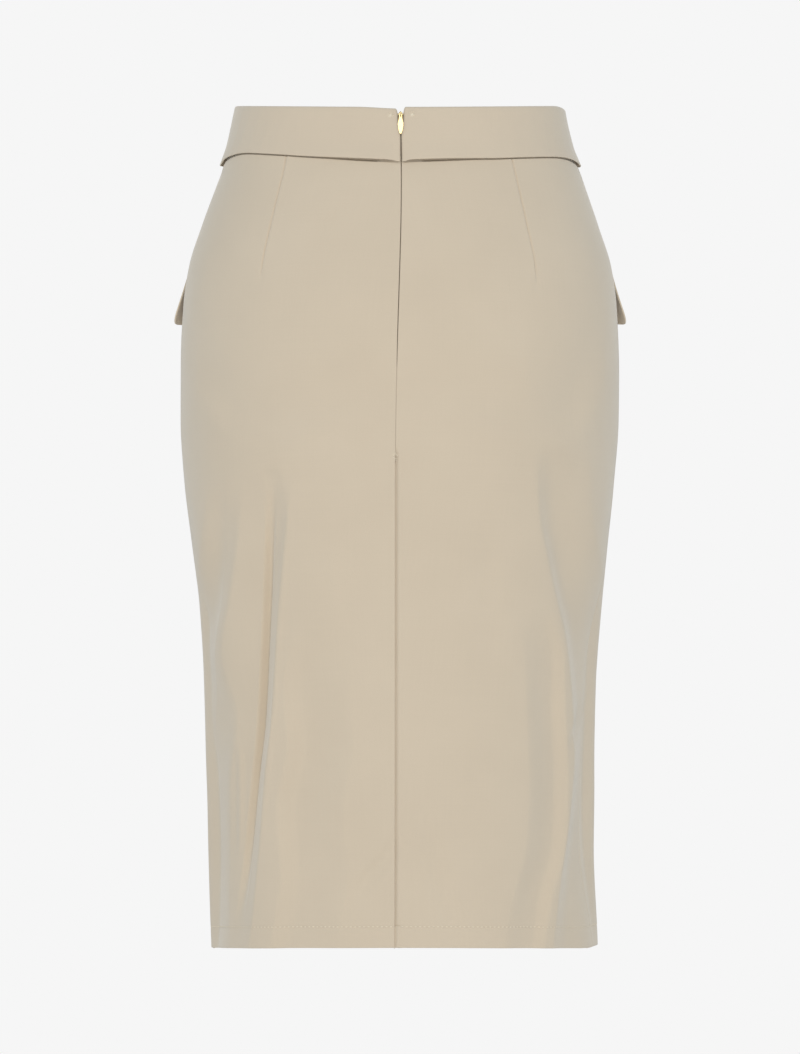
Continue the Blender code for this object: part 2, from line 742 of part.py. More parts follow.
def build():
    for old in list(bpy.data.objects):
        bpy.data.objects.remove(old)
    skirt = bpy.data.collections.new("Pencil skirt")
    guides = bpy.data.collections.new("Guides")
    bpy.context.scene.collection.children.link(skirt)
    bpy.context.scene.collection.children.link(guides)
    cloth = new_material("Khaki cotton", CLOTH_COLOUR, 0.85)
    banding = new_material("Khaki cotton, waistband", BAND_COLOUR, 0.85)
    taping = new_material("Zip tape", TAPE_COLOUR, 0.8)
    metal = new_material("Pale gold metal", METAL_COLOUR, 0.3, metallic=1.0)

    make_panel("front_panel", "front", cloth, skirt)
    make_panel("back_panel_left", "back_left", cloth, skirt)
    make_vent_panel("back_panel_right", cloth, skirt)
    for panel, name in (
        ("front", "waistband_front"),
        ("back_left", "waistband_back_left"),
        ("back_right", "waistband_back_right"),
    ):
        make_band(name, panel, banding, skirt)
    for row in FLAPS:
        make_flap(f"pocket_flap_{row[0]}", row, cloth, skirt)
    make_tape("zip_tape_left", -1, taping, skirt)
    make_tape("zip_tape_right", 1, taping, skirt)
    frame = zip_frame()
    make_slider(frame, metal, skirt, guides)
    make_pull(frame, metal, skirt)


build()
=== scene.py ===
# %% [markdown]
# # A pencil skirt in khaki cotton
# This lesson dresses a pencil skirt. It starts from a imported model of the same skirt, which
# gives every piece of cloth its true place as a wall of one thickness. Here each of them
# becomes a thin sheet with turned edges, seams, stitches and a woven finish.

import math

import bpy
import numpy as np
from mathutils import Matrix, Vector


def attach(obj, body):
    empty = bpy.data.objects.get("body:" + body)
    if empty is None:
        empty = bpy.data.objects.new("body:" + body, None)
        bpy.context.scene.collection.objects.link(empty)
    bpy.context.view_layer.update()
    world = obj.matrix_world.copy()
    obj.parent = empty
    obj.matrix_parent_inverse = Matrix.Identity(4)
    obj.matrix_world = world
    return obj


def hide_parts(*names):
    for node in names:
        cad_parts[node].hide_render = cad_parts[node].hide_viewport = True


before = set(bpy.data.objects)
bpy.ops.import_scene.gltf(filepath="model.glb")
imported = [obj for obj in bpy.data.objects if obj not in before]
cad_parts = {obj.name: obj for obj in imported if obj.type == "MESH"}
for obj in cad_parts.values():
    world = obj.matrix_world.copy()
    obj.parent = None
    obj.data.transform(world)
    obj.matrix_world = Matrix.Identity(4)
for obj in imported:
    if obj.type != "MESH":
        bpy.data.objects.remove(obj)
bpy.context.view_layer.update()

# %% [markdown]
# ## The form under the cloth
# A worn skirt is a tube whose rings change from the waist to the hem. A sculpted mesh could
# give that, but then no seam or pocket could be laid out in real sizes. So the form is a
# short table of rings, in millimetres, and a smooth curve is read through each column. A
# point on the cloth is a turn round the body, in degrees from centre back, and a drop below
# the waist.

# %% Rings of the body
MM = 0.001
LENGTH = 651.0
CORNER_BULGE = 0.02
WAIST_DIP, HEM_LIFT, DIP_POWER = 6.0, 7.0, 1.2
RIGHT_DIP, RIGHT_LIFT, RIGHT_TURN, RIGHT_SPREAD = 3.2, 2.4, 94.0, 27.0

SECTION_COLUMNS = ("drop", "left", "right", "back", "front")
SECTIONS = (
    (0, 126.2, 126.4, 87.0, 86.0),
    (15, 129.4, 129.4, 89.4, 88.0),
    (42, 135.6, 136.6, 94.5, 92.0),
    (52, 138.2, 140.4, 98.0, 93.8),
    (61, 141.6, 143.4, 101.0, 95.3),
    (92, 153.0, 154.0, 110.5, 99.5),
    (123, 162.8, 163.8, 118.5, 103.0),
    (155, 167.6, 168.0, 124.8, 105.5),
    (200, 169.6, 169.6, 128.6, 108.0),
    (245, 169.4, 168.9, 127.6, 109.5),
    (293, 166.6, 165.2, 123.4, 110.0),
    (340, 161.0, 160.6, 118.6, 110.0),
    (386, 155.6, 156.0, 115.4, 110.0),
    (448, 151.4, 151.7, 113.2, 110.0),
    (510, 149.7, 150.4, 112.8, 110.0),
    (572, 148.2, 150.3, 113.4, 110.4),
    (634, 146.8, 152.5, 114.0, 111.0),
    (651, 146.2, 153.0, 114.0, 111.0),
)

# %% A smooth curve through a table


def ease(x):
    """0 to 1, level at both ends."""
    x = np.clip(x, 0.0, 1.0)
    return x * x * (3 - 2 * x)


def table_curve(table, columns, name):
    """A smooth function through one column of a table, over its first column."""
    at = np.array([row[0] for row in table], float)
    value = np.array([row[columns.index(name)] for row in table], float)
    step = np.diff(value) / np.diff(at)
    slope = np.concatenate([step[:1], np.zeros(len(at) - 2), step[-1:]])
    for i in range(1, len(at) - 1):
        before, after = step[i - 1], step[i]
        if before * after > 0:
            slope[i] = 2 * before * after / (before + after)

    def read(x):
        x = np.clip(x, at[0], at[-1])
        i = np.clip(np.searchsorted(at, x, side="right") - 1, 0, len(at) - 2)
        gap = at[i + 1] - at[i]
        t = (x - at[i]) / gap
        start = value[i] * (1 + 2 * t) * (1 - t) ** 2 + slope[i] * gap * t * (1 - t) ** 2
        end = value[i + 1] * t * t * (3 - 2 * t) + slope[i + 1] * gap * t * t * (t - 1)
        return start + end

    return read


# %% Points on the form
LEFT, RIGHT, BACK, FRONT = (
    table_curve(SECTIONS, SECTION_COLUMNS, name) for name in SECTION_COLUMNS[1:]
)


def turn_from(turn, line=0.0):
    """Degrees from a line to a turn, the short way round."""
    return np.mod(turn - line + 180, 360) - 180


def body(turn, drop):
    """Points of the smooth form, before its folds."""
    t = np.radians(turn)
    across, along = np.sin(t), np.cos(t)
    left, right, back, front = LEFT(drop), RIGHT(drop), BACK(drop), FRONT(drop)
    width = (right + left) / 2 + (right - left) / 2 * across
    depth = (back + front) / 2 + (back - front) / 2 * along
    full = 1 + CORNER_BULGE * np.sin(2 * t) ** 2
    share = np.clip(drop / LENGTH, 0, 1)
    dip = np.clip(along, 0, 1) ** DIP_POWER * (WAIST_DIP * (1 - share) - HEM_LIFT * share)
    from_right = np.abs(turn_from(turn, RIGHT_TURN))
    tilt = RIGHT_DIP * (1 - share) - RIGHT_LIFT * share
    dip = dip + (1 - ease(from_right / RIGHT_SPREAD)) * tilt
    return np.stack([width * across * full, -depth * along * full, -(drop + dip)], axis=-1)


def outward(turn, drop):
    """Unit vectors that point out of the smooth form."""
    round_it = body(turn + 0.5, drop) - body(turn - 0.5, drop)
    up_it = body(turn, drop - 1.0) - body(turn, drop + 1.0)
    normal = np.cross(round_it, up_it)
    return normal / np.linalg.norm(normal, axis=-1, keepdims=True)


hip = body(np.linspace(0, 360, 361), np.full(361, 200.0))
print("girth at the hip, mm:", round(float(np.linalg.norm(np.diff(hip, axis=0), axis=1).sum())))

# %% [markdown]
# ## Where the seams run
# The skirt is cut as one front and two half backs. The seams aren't quite straight, because
# worn cloth turns a little round the legs, so they too come from a short table: how far the
# centre back seam lies from the middle, and the turns of the two side seams.

# %% Seams and the zip's slit
SEAM_GAP = 0.02
SEAM_COLUMNS = ("drop", "centre", "left", "right")
SEAMS = (
    (0, 0.4, 90.0, 89.0),
    (60, 1.0, 90.0, 89.0),
    (200, -2.3, 90.0, 88.0),
    (270, -3.4, 90.0, 86.5),
    (450, -3.5, 90.0, 80.0),
    (576, -3.7, 89.0, 75.5),
    (651, -3.9, 88.0, 79.5),
)
SLIT_COLUMNS = ("drop", "half")
SLIT = (
    (0, 3.7),
    (1.5, 2.7),
    (4.5, 2.15),
    (9, 2.0),
    (13, 1.5),
    (18, 0.5),
    (24, 0.32),
    (38, 0.42),
    (45, 0.3),
    (60, 0.26),
    (150, 0.25),
    (198, 0.14),
    (204, SEAM_GAP / 2),
    (269, SEAM_GAP / 2),
    (276, 0.24),
    (560, 0.2),
    (LENGTH, 0.1),
)
SEAM_CENTRE, SEAM_LEFT, SEAM_RIGHT = (
    table_curve(SEAMS, SEAM_COLUMNS, name) for name in SEAM_COLUMNS[1:]
)
SLIT_HALF = table_curve(SLIT, SLIT_COLUMNS, "half")
print("slit's half width at the top, mm:", float(SLIT_HALF(0.0)))

# %% Edges of the panels


def centre_turn(drop):
    """The turn of the centre back line."""
    return np.degrees(SEAM_CENTRE(drop) / LEFT(drop))


def back_per_degree(drop):
    """Millimetres along the cloth for one degree at centre back."""
    return np.radians(RIGHT(drop))


def side_per_degree(drop):
    """Millimetres along the cloth for one degree at the sides."""
    return np.radians((BACK(drop) + FRONT(drop)) / 2)


def edges(panel, drop, inset):
    """The turns of a panel's two edges, inset at centre back and half a seam gap at the sides."""
    at_side = SEAM_GAP / 2 / side_per_degree(drop)
    at_centre = inset / back_per_degree(drop)
    if panel == "back_right":
        return centre_turn(drop) + at_centre, SEAM_RIGHT(drop) - at_side
    if panel == "back_left":
        return -SEAM_LEFT(drop) + at_side, centre_turn(drop) - at_centre
    return SEAM_RIGHT(drop) + at_side, 360 - SEAM_LEFT(drop) - at_side


def edge_scales(panel, drop):
    """Millimetres for one degree at a panel's two edges."""
    side, back = side_per_degree(drop), back_per_degree(drop)
    return {
        "back_right": (back, side),
        "back_left": (side, back),
        "front": (side, side),
    }[panel]


# %% [markdown]
# ## Folds of worn cloth
# Cotton that is pulled over hips and then falls straight shows long soft troughs, deeper
# where the cloth has to give, and never two alike. They could be simulated, but a simulation
# can't be told where the folds of this skirt lie. So each is a row in a table: a line that
# runs down or across the cloth, with a depth at every place and a width to either side. A
# negative depth is a ridge, and a low crest number makes the fold's edge sharper. A little
# uneven swelling, from long waves of different lengths, keeps the rest from looking cast.

# %% Folds and unevenness
FOLD_COLUMNS = ("side", "runs", "minus_width", "plus_width", "crest", "path")
PATH_COLUMNS = ("along", "at", "depth")
FOLDS = (
    # Under the seat, from hip to hip
    ("back", "across", 44, 26, 2.0, (
        (-156, 212, 0), (-128, 234, 3.8), (-99, 242, 3.4), (-50, 229, 2.3), (0, 222, 2.0),
        (50, 225, 2.4), (99, 238, 2.8), (130, 236, 3.2), (156, 212, 0))),
    ("back", "across", 60, 44, 2.0, ((96, 225, 0), (135, 216, 2.6), (158, 210, 0))),
    # Left of the middle: a short slanting crease, the long trough and its bright crest
    ("back", "down", 8, 10, 1.8, (
        (276, -101, 0), (292, -98, 0.9), (318, -94, 0.9), (345, -92, 0))),
    ("back", "down", 34, 16, 1.15, (
        (280, -97, 0), (318, -101, 5.4), (351, -104.5, 8.4), (399, -109, 10.4), (477, -113.5, 11.0),
        (517, -118.5, 10.2), (571, -123, 8.8), (623, -128, 6.0), (651, -131, 3.4))),
    ("back", "down", 4.4, 4.6, 1.25, (
        (296, -98, 0), (330, -101.5, 3.0), (399, -107, 5.0), (477, -112, 5.8), (531, -117.5, 5.0),
        (590, -123, 2.6), (630, -127, 0))),
    ("back", "down", 5, 4, 2.0, (
        (310, -84, 0), (350, -87, -0.6), (421, -93, -0.7), (531, -102, -0.6), (580, -106, 0))),
    ("back", "down", 13, 15, 1.5, (
        (290, -134, 0), (330, -139, 5.0), (381, -147, 8.0), (425, -153, 5.0), (470, -145, 5.5),
        (531, -151, 7.5), (600, -151, 5.0), (651, -148, 2.0))),
    ("back", "down", 4, 4, 2.0, ((490, -130, 0), (510, -129, -1.1), (560, -129, -1.1), (585, -130, 0))),
    ("back", "down", 15, 36, 1.2, (
        (405, -66, 0), (450, -74, 4.2), (495, -71, 6.0), (545, -79, 6.4), (595, -76, 5.6),
        (651, -84, 3.2))),
    # Right of the middle
    ("back", "down", 16, 26, 1.15, (
        (262, 119, 0), (290, 120, 5.0), (318, 122, 7.4), (346, 127.5, 8.6), (373, 133.5, 8.8),
        (415, 143, 8.4), (451, 147, 8.0), (497, 149.5, 8.4), (545, 146, 9.0), (591, 139.5, 8.6),
        (651, 132.5, 5.0))),
    ("back", "down", 22, 9, 1.3, (
        (388, 107, 0), (430, 117, 4.4), (470, 118, 5.8), (520, 120, 5.8), (571, 118, 5.8),
        (610, 108, 5.6), (651, 101, 3.6))),
    ("back", "down", 5, 9, 1.5, ((460, 146, 0), (472, 141, 1.6), (483, 135, 1.6), (500, 131, 0))),
    # Small ones by the vent and on the seat
    ("back", "down", 10, 14, 1.6, (
        (540, 8, 0), (561, 2, 1.3), (583, -13, 1.8), (605, -30, 1.3), (640, -40, 0))),
    ("back", "down", 12, 10, 1.6, ((520, 12, 0), (570, 24, 1.1), (625, 38, 1.1), (651, 42, 0.5))),
    ("back", "down", 18, 18, 2.0, ((300, 62, 0), (380, 66, 1.0), (470, 70, 0))),
    ("back", "down", 18, 18, 2.0, ((300, -32, 0), (380, -35, 0.8), (470, -40, 0))),
    # The front, which is guessed: falls from the hips and two at the thighs
    ("front", "across", 26, 18, 1.8, (
        (-150, 232, 0), (-120, 214, 2.8), (-60, 205, 1.8), (0, 202, 1.3),
        (60, 204, 1.9), (120, 214, 3.0), (150, 232, 0))),
    ("front", "down", 24, 14, 1.2, (
        (246, -104, 0), (310, -104, 5.2), (400, -110, 8.2), (500, -106, 7.6), (590, -100, 5.6),
        (651, -97, 3.0))),
    ("front", "down", 14, 25, 1.2, (
        (268, 96, 0), (330, 103, 4.8), (420, 112, 7.8), (520, 116, 7.0), (610, 121, 4.8),
        (651, 123, 3.0))),
    ("front", "down", 26, 16, 1.3, ((400, 40, 0), (470, 48, 4.2), (560, 55, 5.6), (651, 60, 3.2))),
    ("front", "down", 15, 24, 1.3, ((450, -30, 0), (520, -35, 3.4), (600, -42, 4.6), (651, -46, 3.0))),
    ("front", "down", 9, 12, 1.5, ((320, 130, 0), (400, 139, 4.6), (500, 137, 4.8), (651, 131, 1.4))),
    ("front", "down", 12, 9, 1.5, ((370, -129, 0), (450, -139, 5.2), (540, -137, 5.0), (651, -132, 2.2))),
    ("front", "down", 13, 13, 2.0, ((300, 76, 0), (400, 80, -0.8), (520, 82, 0))),
    ("front", "down", 14, 14, 2.0, ((330, -70, 0), (440, -64, -0.8), (560, -62, 0))),
    ("front", "down", 15, 15, 2.0, ((430, 4, 0), (520, 10, 0.8), (620, 10, 0))),
)
FOLD_SIDE_FADE = 6.0

# %% Darts and waves
LEFT_DART, RIGHT_DART, FRONT_DART = -39.1, 38.0, 37.0
DART_COLUMNS = ("place", "turn", "top", "tip")
DARTS = (
    ("back left", LEFT_DART, 30, 133),
    ("back right", RIGHT_DART, 30, 138),
    ("front right", 180 - FRONT_DART, 30, 110),
    ("front left", 180 + FRONT_DART, 30, 110),
)
DART_HALF_WIDTH, DART_DEPTH = 0.8, 1.3
DART_SQUASH = 0.9  # cloth in a degree there, as a share of that at centre back
DART_LIP, LIP_WIDTH, LIP_EDGE = 0.28, 9.0, 0.6  # the pressed side of a dart stands out
DIMPLE_DEPTH, DIMPLE_HALF_WIDTH, DIMPLE_HALF_LENGTH = 0.35, 5.0, 9.0  # at a dart's tip
DART_TOP_FADE, DART_TIP_FADE = 8.0, 9.0

WAVE_COLUMNS = ("round", "down", "start", "size")
WAVES = (
    (5.0, 1.7, 0.3, 0.20),
    (8.0, -2.6, 1.9, 0.16),
    (13.0, 3.9, 4.4, 0.10),
    (17.0, -5.3, 2.7, 0.07),
    (23.0, 7.7, 5.2, 0.045),
    (31.0, -11.3, 0.8, 0.030),
)
WAVE_START, WAVE_FADE = 30.0, 120.0
print("darts:", len(DARTS), "waves:", len(WAVES))

# %% The cloth's surface


def fold_curves():
    """Each fold's line, depth and fading as functions of its place along its path."""
    made = []
    for row in FOLDS:
        f = dict(zip(FOLD_COLUMNS, row))
        f["at"] = table_curve(f["path"], PATH_COLUMNS, "at")
        f["depth"] = table_curve(f["path"], PATH_COLUMNS, "depth")
        made.append(f)
    return made


FOLD_CURVES = fold_curves()


def fold(turn, drop):
    """How far the folds push the cloth out; negative is in."""
    x = body(turn, drop)[..., 0]
    facing_back = np.cos(np.radians(turn))
    push = np.zeros_like(x)
    for f in FOLD_CURVES:
        along, across = (drop, x) if f["runs"] == "down" else (x, drop)
        aside = across - f["at"](along)
        aside = aside / np.where(aside < 0, f["minus_width"], f["plus_width"])
        trough = np.cos(np.pi / 2 * np.clip(aside, -1, 1)) ** f["crest"]
        faces = facing_back if f["side"] == "back" else -facing_back
        push -= f["depth"](along) * trough * ease(faces * FOLD_SIDE_FADE)
    return push


def dart(turn, drop):
    """The fine crease of each dart, with the pressed side raised a little."""
    push = np.zeros_like(turn)
    for row in DARTS:
        d = dict(zip(DART_COLUMNS, row))
        away = turn_from(turn, d["turn"]) * np.radians(LEFT(drop)) * DART_SQUASH
        line = ease((drop - d["top"]) / DART_TOP_FADE) * ease((d["tip"] - drop) / DART_TIP_FADE)
        outside = away * (1 if np.sin(np.radians(d["turn"])) > 0 else -1)
        lip = np.where(outside < 0, ease(1 + outside / LIP_WIDTH), ease(1 - outside / LIP_EDGE))
        push += line * DART_LIP * lip
        push -= line * DART_DEPTH * np.clip(1 - np.abs(away) / DART_HALF_WIDTH, 0, 1)
        tip = np.hypot(away / DIMPLE_HALF_WIDTH, (drop - d["tip"]) / DIMPLE_HALF_LENGTH)
        push -= DIMPLE_DEPTH * np.where(tip < 1, np.cos(np.pi / 2 * tip) ** 2, 0)
    return push


def swelling(turn, drop):
    """Long shallow waves that fade at the waistband."""
    push = np.zeros_like(turn)
    for row in WAVES:
        w = dict(zip(WAVE_COLUMNS, row))
        angle = w["round"] * np.radians(turn) + w["down"] * drop / 100 + w["start"]
        push += w["size"] * np.sin(angle)
    return push * ease((drop - WAVE_START) / WAVE_FADE)


def skin(turn, drop, out=0.0):
    """Points of the cloth, moved out from the skirt's outer face."""
    out = np.asarray(out + fold(turn, drop) + dart(turn, drop) + swelling(turn, drop))
    return body(turn, drop) + outward(turn, drop) * out[..., None]


print("folds:", len(FOLDS), "push at one place, mm:", round(float(fold(-45.0, 400.0)), 2))

# %% [markdown]
# ## Sheets of cloth
# A panel is a grid with a point every few millimetres. Its real edges are never cut bare:
# the cloth rolls over and lies pressed back inside, as a seam allowance or a hem. A bevel
# could round the edge but leaves nothing inside it, so the grid runs on past the edge and
# its distance from there is wound round a small circle. Solidify then gives the thin sheet
# its wall. The UV map is the unrolled cloth in metres, so the weave keeps one size.

# %% A turned edge
CLOTH = 0.42
SEAM_ROLL = 0.5
HEM_ROLL = 0.62
SEAM_ALLOWANCE = 11.0
HEM_DEPTH = 17.5


def turned_edge(from_edge, roll):
    """How far a point lies from the edge, and how far inside, once the edge is rolled over."""
    quarter = roll * np.pi / 2
    angle = np.clip((quarter - from_edge) / roll, 0, np.pi)
    past = np.maximum(np.abs(from_edge) - quarter, 0)
    return roll * (1 - np.sin(angle)) + past, roll * (1 - np.cos(angle))


def roll_steps(roll):
    """Distances from an edge that follow its roll closely."""
    quarter = roll * np.pi / 2
    return list(np.linspace(-quarter, quarter, 7))


# %% A sheet from a grid of points


def unrolled(points):
    """Distances along the rows and up the columns of a grid of points, in metres."""
    across = np.linalg.norm(np.diff(points, axis=1), axis=2)
    across = np.concatenate([np.zeros((len(points), 1)), np.cumsum(across, axis=1)], axis=1)
    up = np.linalg.norm(np.diff(points, axis=0), axis=2)
    up = np.concatenate([np.zeros((1, points.shape[1])), np.cumsum(up, axis=0)], axis=0)
    middle = points.shape[1] // 2
    across = across - across[:, middle : middle + 1]
    return np.stack([across, up], axis=-1) * MM


def sheet_from_grid(name, points, wall, material, keep=None):
    """A sheet of cloth from rows of points, its wall on the inner side."""
    rows, columns = points.shape[:2]
    index = np.arange(rows * columns).reshape(rows, columns)
    quads = np.stack([index[:-1, :-1], index[:-1, 1:], index[1:, 1:], index[1:, :-1]], axis=-1)
    if keep is not None:
        quads = quads[keep]
    quads = quads.reshape(-1, 4)
    used = np.zeros(rows * columns, bool)
    used[quads] = True
    renumber = np.cumsum(used) - 1
    quads = renumber[quads]
    flat = unrolled(points).reshape(-1, 2)[used]
    mesh = bpy.data.meshes.new(name)
    mesh.from_pydata((points.reshape(-1, 3)[used] * MM).tolist(), [], quads.tolist())
    mesh.uv_layers.new(name="Cloth")
    mesh.uv_layers["Cloth"].uv.foreach_set("vector", flat[quads.ravel()].ravel())
    mesh.materials.append(material)
    mesh.shade_smooth()
    piece = bpy.data.objects.new(name, mesh)
    bpy.context.scene.collection.objects.link(piece)
    solidify = piece.modifiers.new("Wall", "SOLIDIFY")
    solidify.thickness = wall * MM
    solidify.offset = -1.0
    print(name, "faces:", len(quads))
    return piece


# %% [markdown]
# ## Finishes
# The skirt is a plain weave in khaki cotton with a little stretch: dull, with a faint sheen
# where it turns away. A photograph of cloth could be wrapped on it, but that would carry its
# own light. So the threads are waves crossing on the UV map, which only raise the surface,
# and the colour changes a little from thread to thread and in broad faint patches. Several
# materials use weave and patches, so each is a node group with its own inputs.

# %% Nodes and groups


def new_group(name, inputs, outputs):
    """An empty shader group, its input node and its output node."""
    group = bpy.data.node_groups.new(name, "ShaderNodeTree")
    for socket, kind, value in inputs:
        made = group.interface.new_socket(name=socket, in_out="INPUT", socket_type=kind)
        if value is not None:
            made.default_value = value
    for socket in outputs:
        group.interface.new_socket(name=socket, in_out="OUTPUT", socket_type="NodeSocketFloat")
    return group, group.nodes.new("NodeGroupInput"), group.nodes.new("NodeGroupOutput")


def node(tree, kind, inputs=None, **settings):
    """A node with its settings, each input linked to another node's output or set to a value."""
    made = tree.nodes.new(kind)
    for setting, value in settings.items():
        setattr(made, setting, value)
    for socket, value in (inputs or {}).items():
        if isinstance(value, bpy.types.NodeSocket):
            tree.links.new(value, made.inputs[socket])
        else:
            made.inputs[socket].default_value = value
    return made


def worked(tree, operation, *values, **settings):
    """The output of a maths node that works on outputs of other nodes, or on numbers."""
    inputs = dict(enumerate(values))
    return node(tree, "ShaderNodeMath", inputs, operation=operation, **settings).outputs[0]


# %% Weave


def weave_group():
    """Threads that cross over and under each other, from a position on the cloth in metres."""
    group, given, result = new_group(
        "Plain weave",
        [
            ("Position", "NodeSocketVector", None),
            ("Threads per metre", "NodeSocketFloat", 1900.0),
            ("Slub", "NodeSocketFloat", 0.5),
        ],
        ["Height", "Thread shade"],
    )
    place = {0: given.outputs["Position"], "Scale": given.outputs["Threads per metre"]}
    scaled = node(group, "ShaderNodeVectorMath", place, operation="SCALE").outputs[0]
    apart = node(group, "ShaderNodeSeparateXYZ", {0: scaled})
    waves = []
    for axis in ("X", "Y"):
        angle = worked(group, "MULTIPLY", apart.outputs[axis], math.pi)
        waves.append(worked(group, "SINE", angle))
    slubs = []
    for stretch in ((1.0, 0.012, 1.0), (0.012, 1.0, 1.0)):
        drawn = node(group, "ShaderNodeMapping", {"Vector": scaled, "Scale": stretch}).outputs[0]
        noise = node(group, "ShaderNodeTexNoise", {"Vector": drawn, "Scale": 0.35, "Detail": 3.0})
        slubs.append(noise.outputs["Fac"])
    shade = worked(group, "ADD", worked(group, "ADD", *slubs), -1.0)
    uneven = worked(group, "MULTIPLY", shade, given.outputs["Slub"])
    height = worked(group, "ADD", worked(group, "MULTIPLY", *waves), uneven)
    group.links.new(height, result.inputs["Height"])
    group.links.new(shade, result.inputs["Thread shade"])
    return group


# %% Patches


def patch_group():
    """Broad faint patches and a fine fleck, as a value round zero."""
    group, given, result = new_group(
        "Faint patches",
        [
            ("Position", "NodeSocketVector", None),
            ("Broad", "NodeSocketFloat", 14.0),
            ("Fine", "NodeSocketFloat", 900.0),
            ("Fine share", "NodeSocketFloat", 0.5),
        ],
        ["Value"],
    )
    values = []
    for scale, detail in (("Broad", 2.0), ("Fine", 1.0)):
        noise = node(group, "ShaderNodeTexNoise", {"Scale": given.outputs[scale], "Detail": detail})
        group.links.new(given.outputs["Position"], noise.inputs["Vector"])
        values.append(worked(group, "ADD", noise.outputs["Fac"], -0.5))
    broad, fine = values
    fine_part = worked(group, "MULTIPLY", fine, given.outputs["Fine share"])
    group.links.new(worked(group, "ADD", broad, fine_part), result.inputs["Value"])
    return group


WEAVE, PATCHES = weave_group(), patch_group()
print("node groups:", WEAVE.name, "and", PATCHES.name)

# %% [markdown]
# One function makes every woven material, from a dark and a light tone of the same dye. The
# sheen is the down of the cotton: it only shows where the cloth turns away from the eye, and
# pales the colour there, as in the photograph.

# %% Woven materials


def new_material(name):
    """A material, its node tree and its shader."""
    material = bpy.data.materials.new(name)
    material.use_nodes = True
    return material, material.node_tree, material.node_tree.nodes["Principled BSDF"]


def two_tones(tree, shade, dark, light):
    """From a shade round zero, a share between 0 and 1 and the colour that far along."""
    share = worked(tree, "ADD", shade, 0.5, use_clamp=True)
    tones = {"Factor": share, "A": (*dark, 1), "B": (*light, 1)}
    return share, node(tree, "ShaderNodeMix", tones, data_type="RGBA").outputs["Result"]


def woven(name, dark, light, threads, relief, sheen, fleck):
    """Cotton cloth, tape or thread: colour between two tones, raised by its weave."""
    material, tree, shader = new_material(name)
    place = {"Position": node(tree, "ShaderNodeUVMap", uv_map="Cloth").outputs["UV"]}
    patches = node(tree, "ShaderNodeGroup", place, node_tree=PATCHES)
    place["Threads per metre"] = threads
    weave = node(tree, "ShaderNodeGroup", place, node_tree=WEAVE)
    flecks = worked(tree, "MULTIPLY", weave.outputs["Thread shade"], fleck)
    tone = worked(tree, "ADD", patches.outputs["Value"], flecks)
    colour = two_tones(tree, tone, dark, light)[1]
    tree.links.new(colour, shader.inputs["Base Color"])
    raised = {"Strength": relief, "Distance": 0.0001, "Height": weave.outputs["Height"]}
    bump = node(tree, "ShaderNodeBump", raised)
    tree.links.new(bump.outputs["Normal"], shader.inputs["Normal"])
    shader.inputs["Roughness"].default_value = 0.88
    shader.inputs["Specular IOR Level"].default_value = 0.22
    shader.inputs["Sheen Weight"].default_value = sheen
    shader.inputs["Sheen Roughness"].default_value = 0.45
    shader.inputs["Sheen Tint"].default_value = (1, 1, 1, 1)
    return material


cotton = woven("Khaki cotton", (0.554, 0.482, 0.384), (0.594, 0.520, 0.417), 2600, 0.25, 0.40, 0.35)
banding = woven(
    "Khaki cotton, pressed", (0.554, 0.482, 0.386), (0.594, 0.520, 0.418), 2600, 0.22, 0.40, 0.30
)
# The tape and its coils of teeth are a darker brown than their own dye, standing in for the shade inside
# the zip's slit: painted shade.
tape_darkened_for_shade = woven("Zip tape", (0.250, 0.200, 0.140), (0.310, 0.250, 0.180), 1500, 0.5, 0.05, 0.5)
thread = woven("Sewing thread", (0.720, 0.660, 0.540), (0.780, 0.720, 0.600), 3000, 0.3, 0.10, 0.3)

# %% Plated metal


def plated(name, dark, light, roughness):
    """Smooth plated metal with a faintly uneven polish."""
    material, tree, shader = new_material(name)
    place = node(tree, "ShaderNodeTexCoord").outputs["Object"]
    inputs = {"Position": place, "Broad": 420.0, "Fine": 2600.0}
    patches = node(tree, "ShaderNodeGroup", inputs, node_tree=PATCHES)
    share, colour = two_tones(tree, patches.outputs["Value"], dark, light)
    tree.links.new(colour, shader.inputs["Base Color"])
    limits = {"Value": share, "To Min": roughness - 0.06, "To Max": roughness + 0.06}
    polish = node(tree, "ShaderNodeMapRange", limits)
    tree.links.new(polish.outputs["Result"], shader.inputs["Roughness"])
    shader.inputs["Metallic"].default_value = 1.0
    return material


gold = plated("Pale gold plating", (0.480, 0.400, 0.220), (0.560, 0.470, 0.280), 0.36)
print("materials:", cotton.name, banding.name, tape_darkened_for_shade.name, thread.name, gold.name)

# %% [markdown]
# ## The panels
# The front and the left half of the back are plain pieces of cloth. Along each side seam the
# cloth rolls inside and its allowance is pressed open, and the hem is turned up inside. A
# column is a share of the panel's width plus a distance in millimetres, so that the rolled
# edges keep their size where the panel narrows. Rows work in the same way from the hem up.
# Under the waistband each panel is drawn in, and the shade in that groove is the dark line
# below the band. It is widest beside the zip.

# %% Height of the waistband
BAND_COLUMNS = ("turn", "left", "right")
BAND_DEPTH = (
    (0, 43.5, 43.0),
    (5, 42.0, 41.8),
    (30, 38.6, 41.6),
    (44, 37.2, 40.6),
    (58, 36.5, 40.1),
    (78, 41.3, 43.1),
    (90, 46.8, 45.0),
    (112, 44.0, 44.0),
    (180, 43.0, 43.0),
)
BAND_LEFT, BAND_RIGHT = (
    table_curve(BAND_DEPTH, BAND_COLUMNS, name) for name in BAND_COLUMNS[1:]
)


def band_depth(turn):
    """Height of the waistband at a turn."""
    t = turn_from(turn)
    right_share = (1 + np.sin(np.radians(t))) / 2
    left, right = BAND_LEFT(np.abs(t)), BAND_RIGHT(np.abs(t))
    return left * (1 - right_share) + right * right_share


print("waistband at centre back, mm:", round(float(band_depth(0.0)), 1))

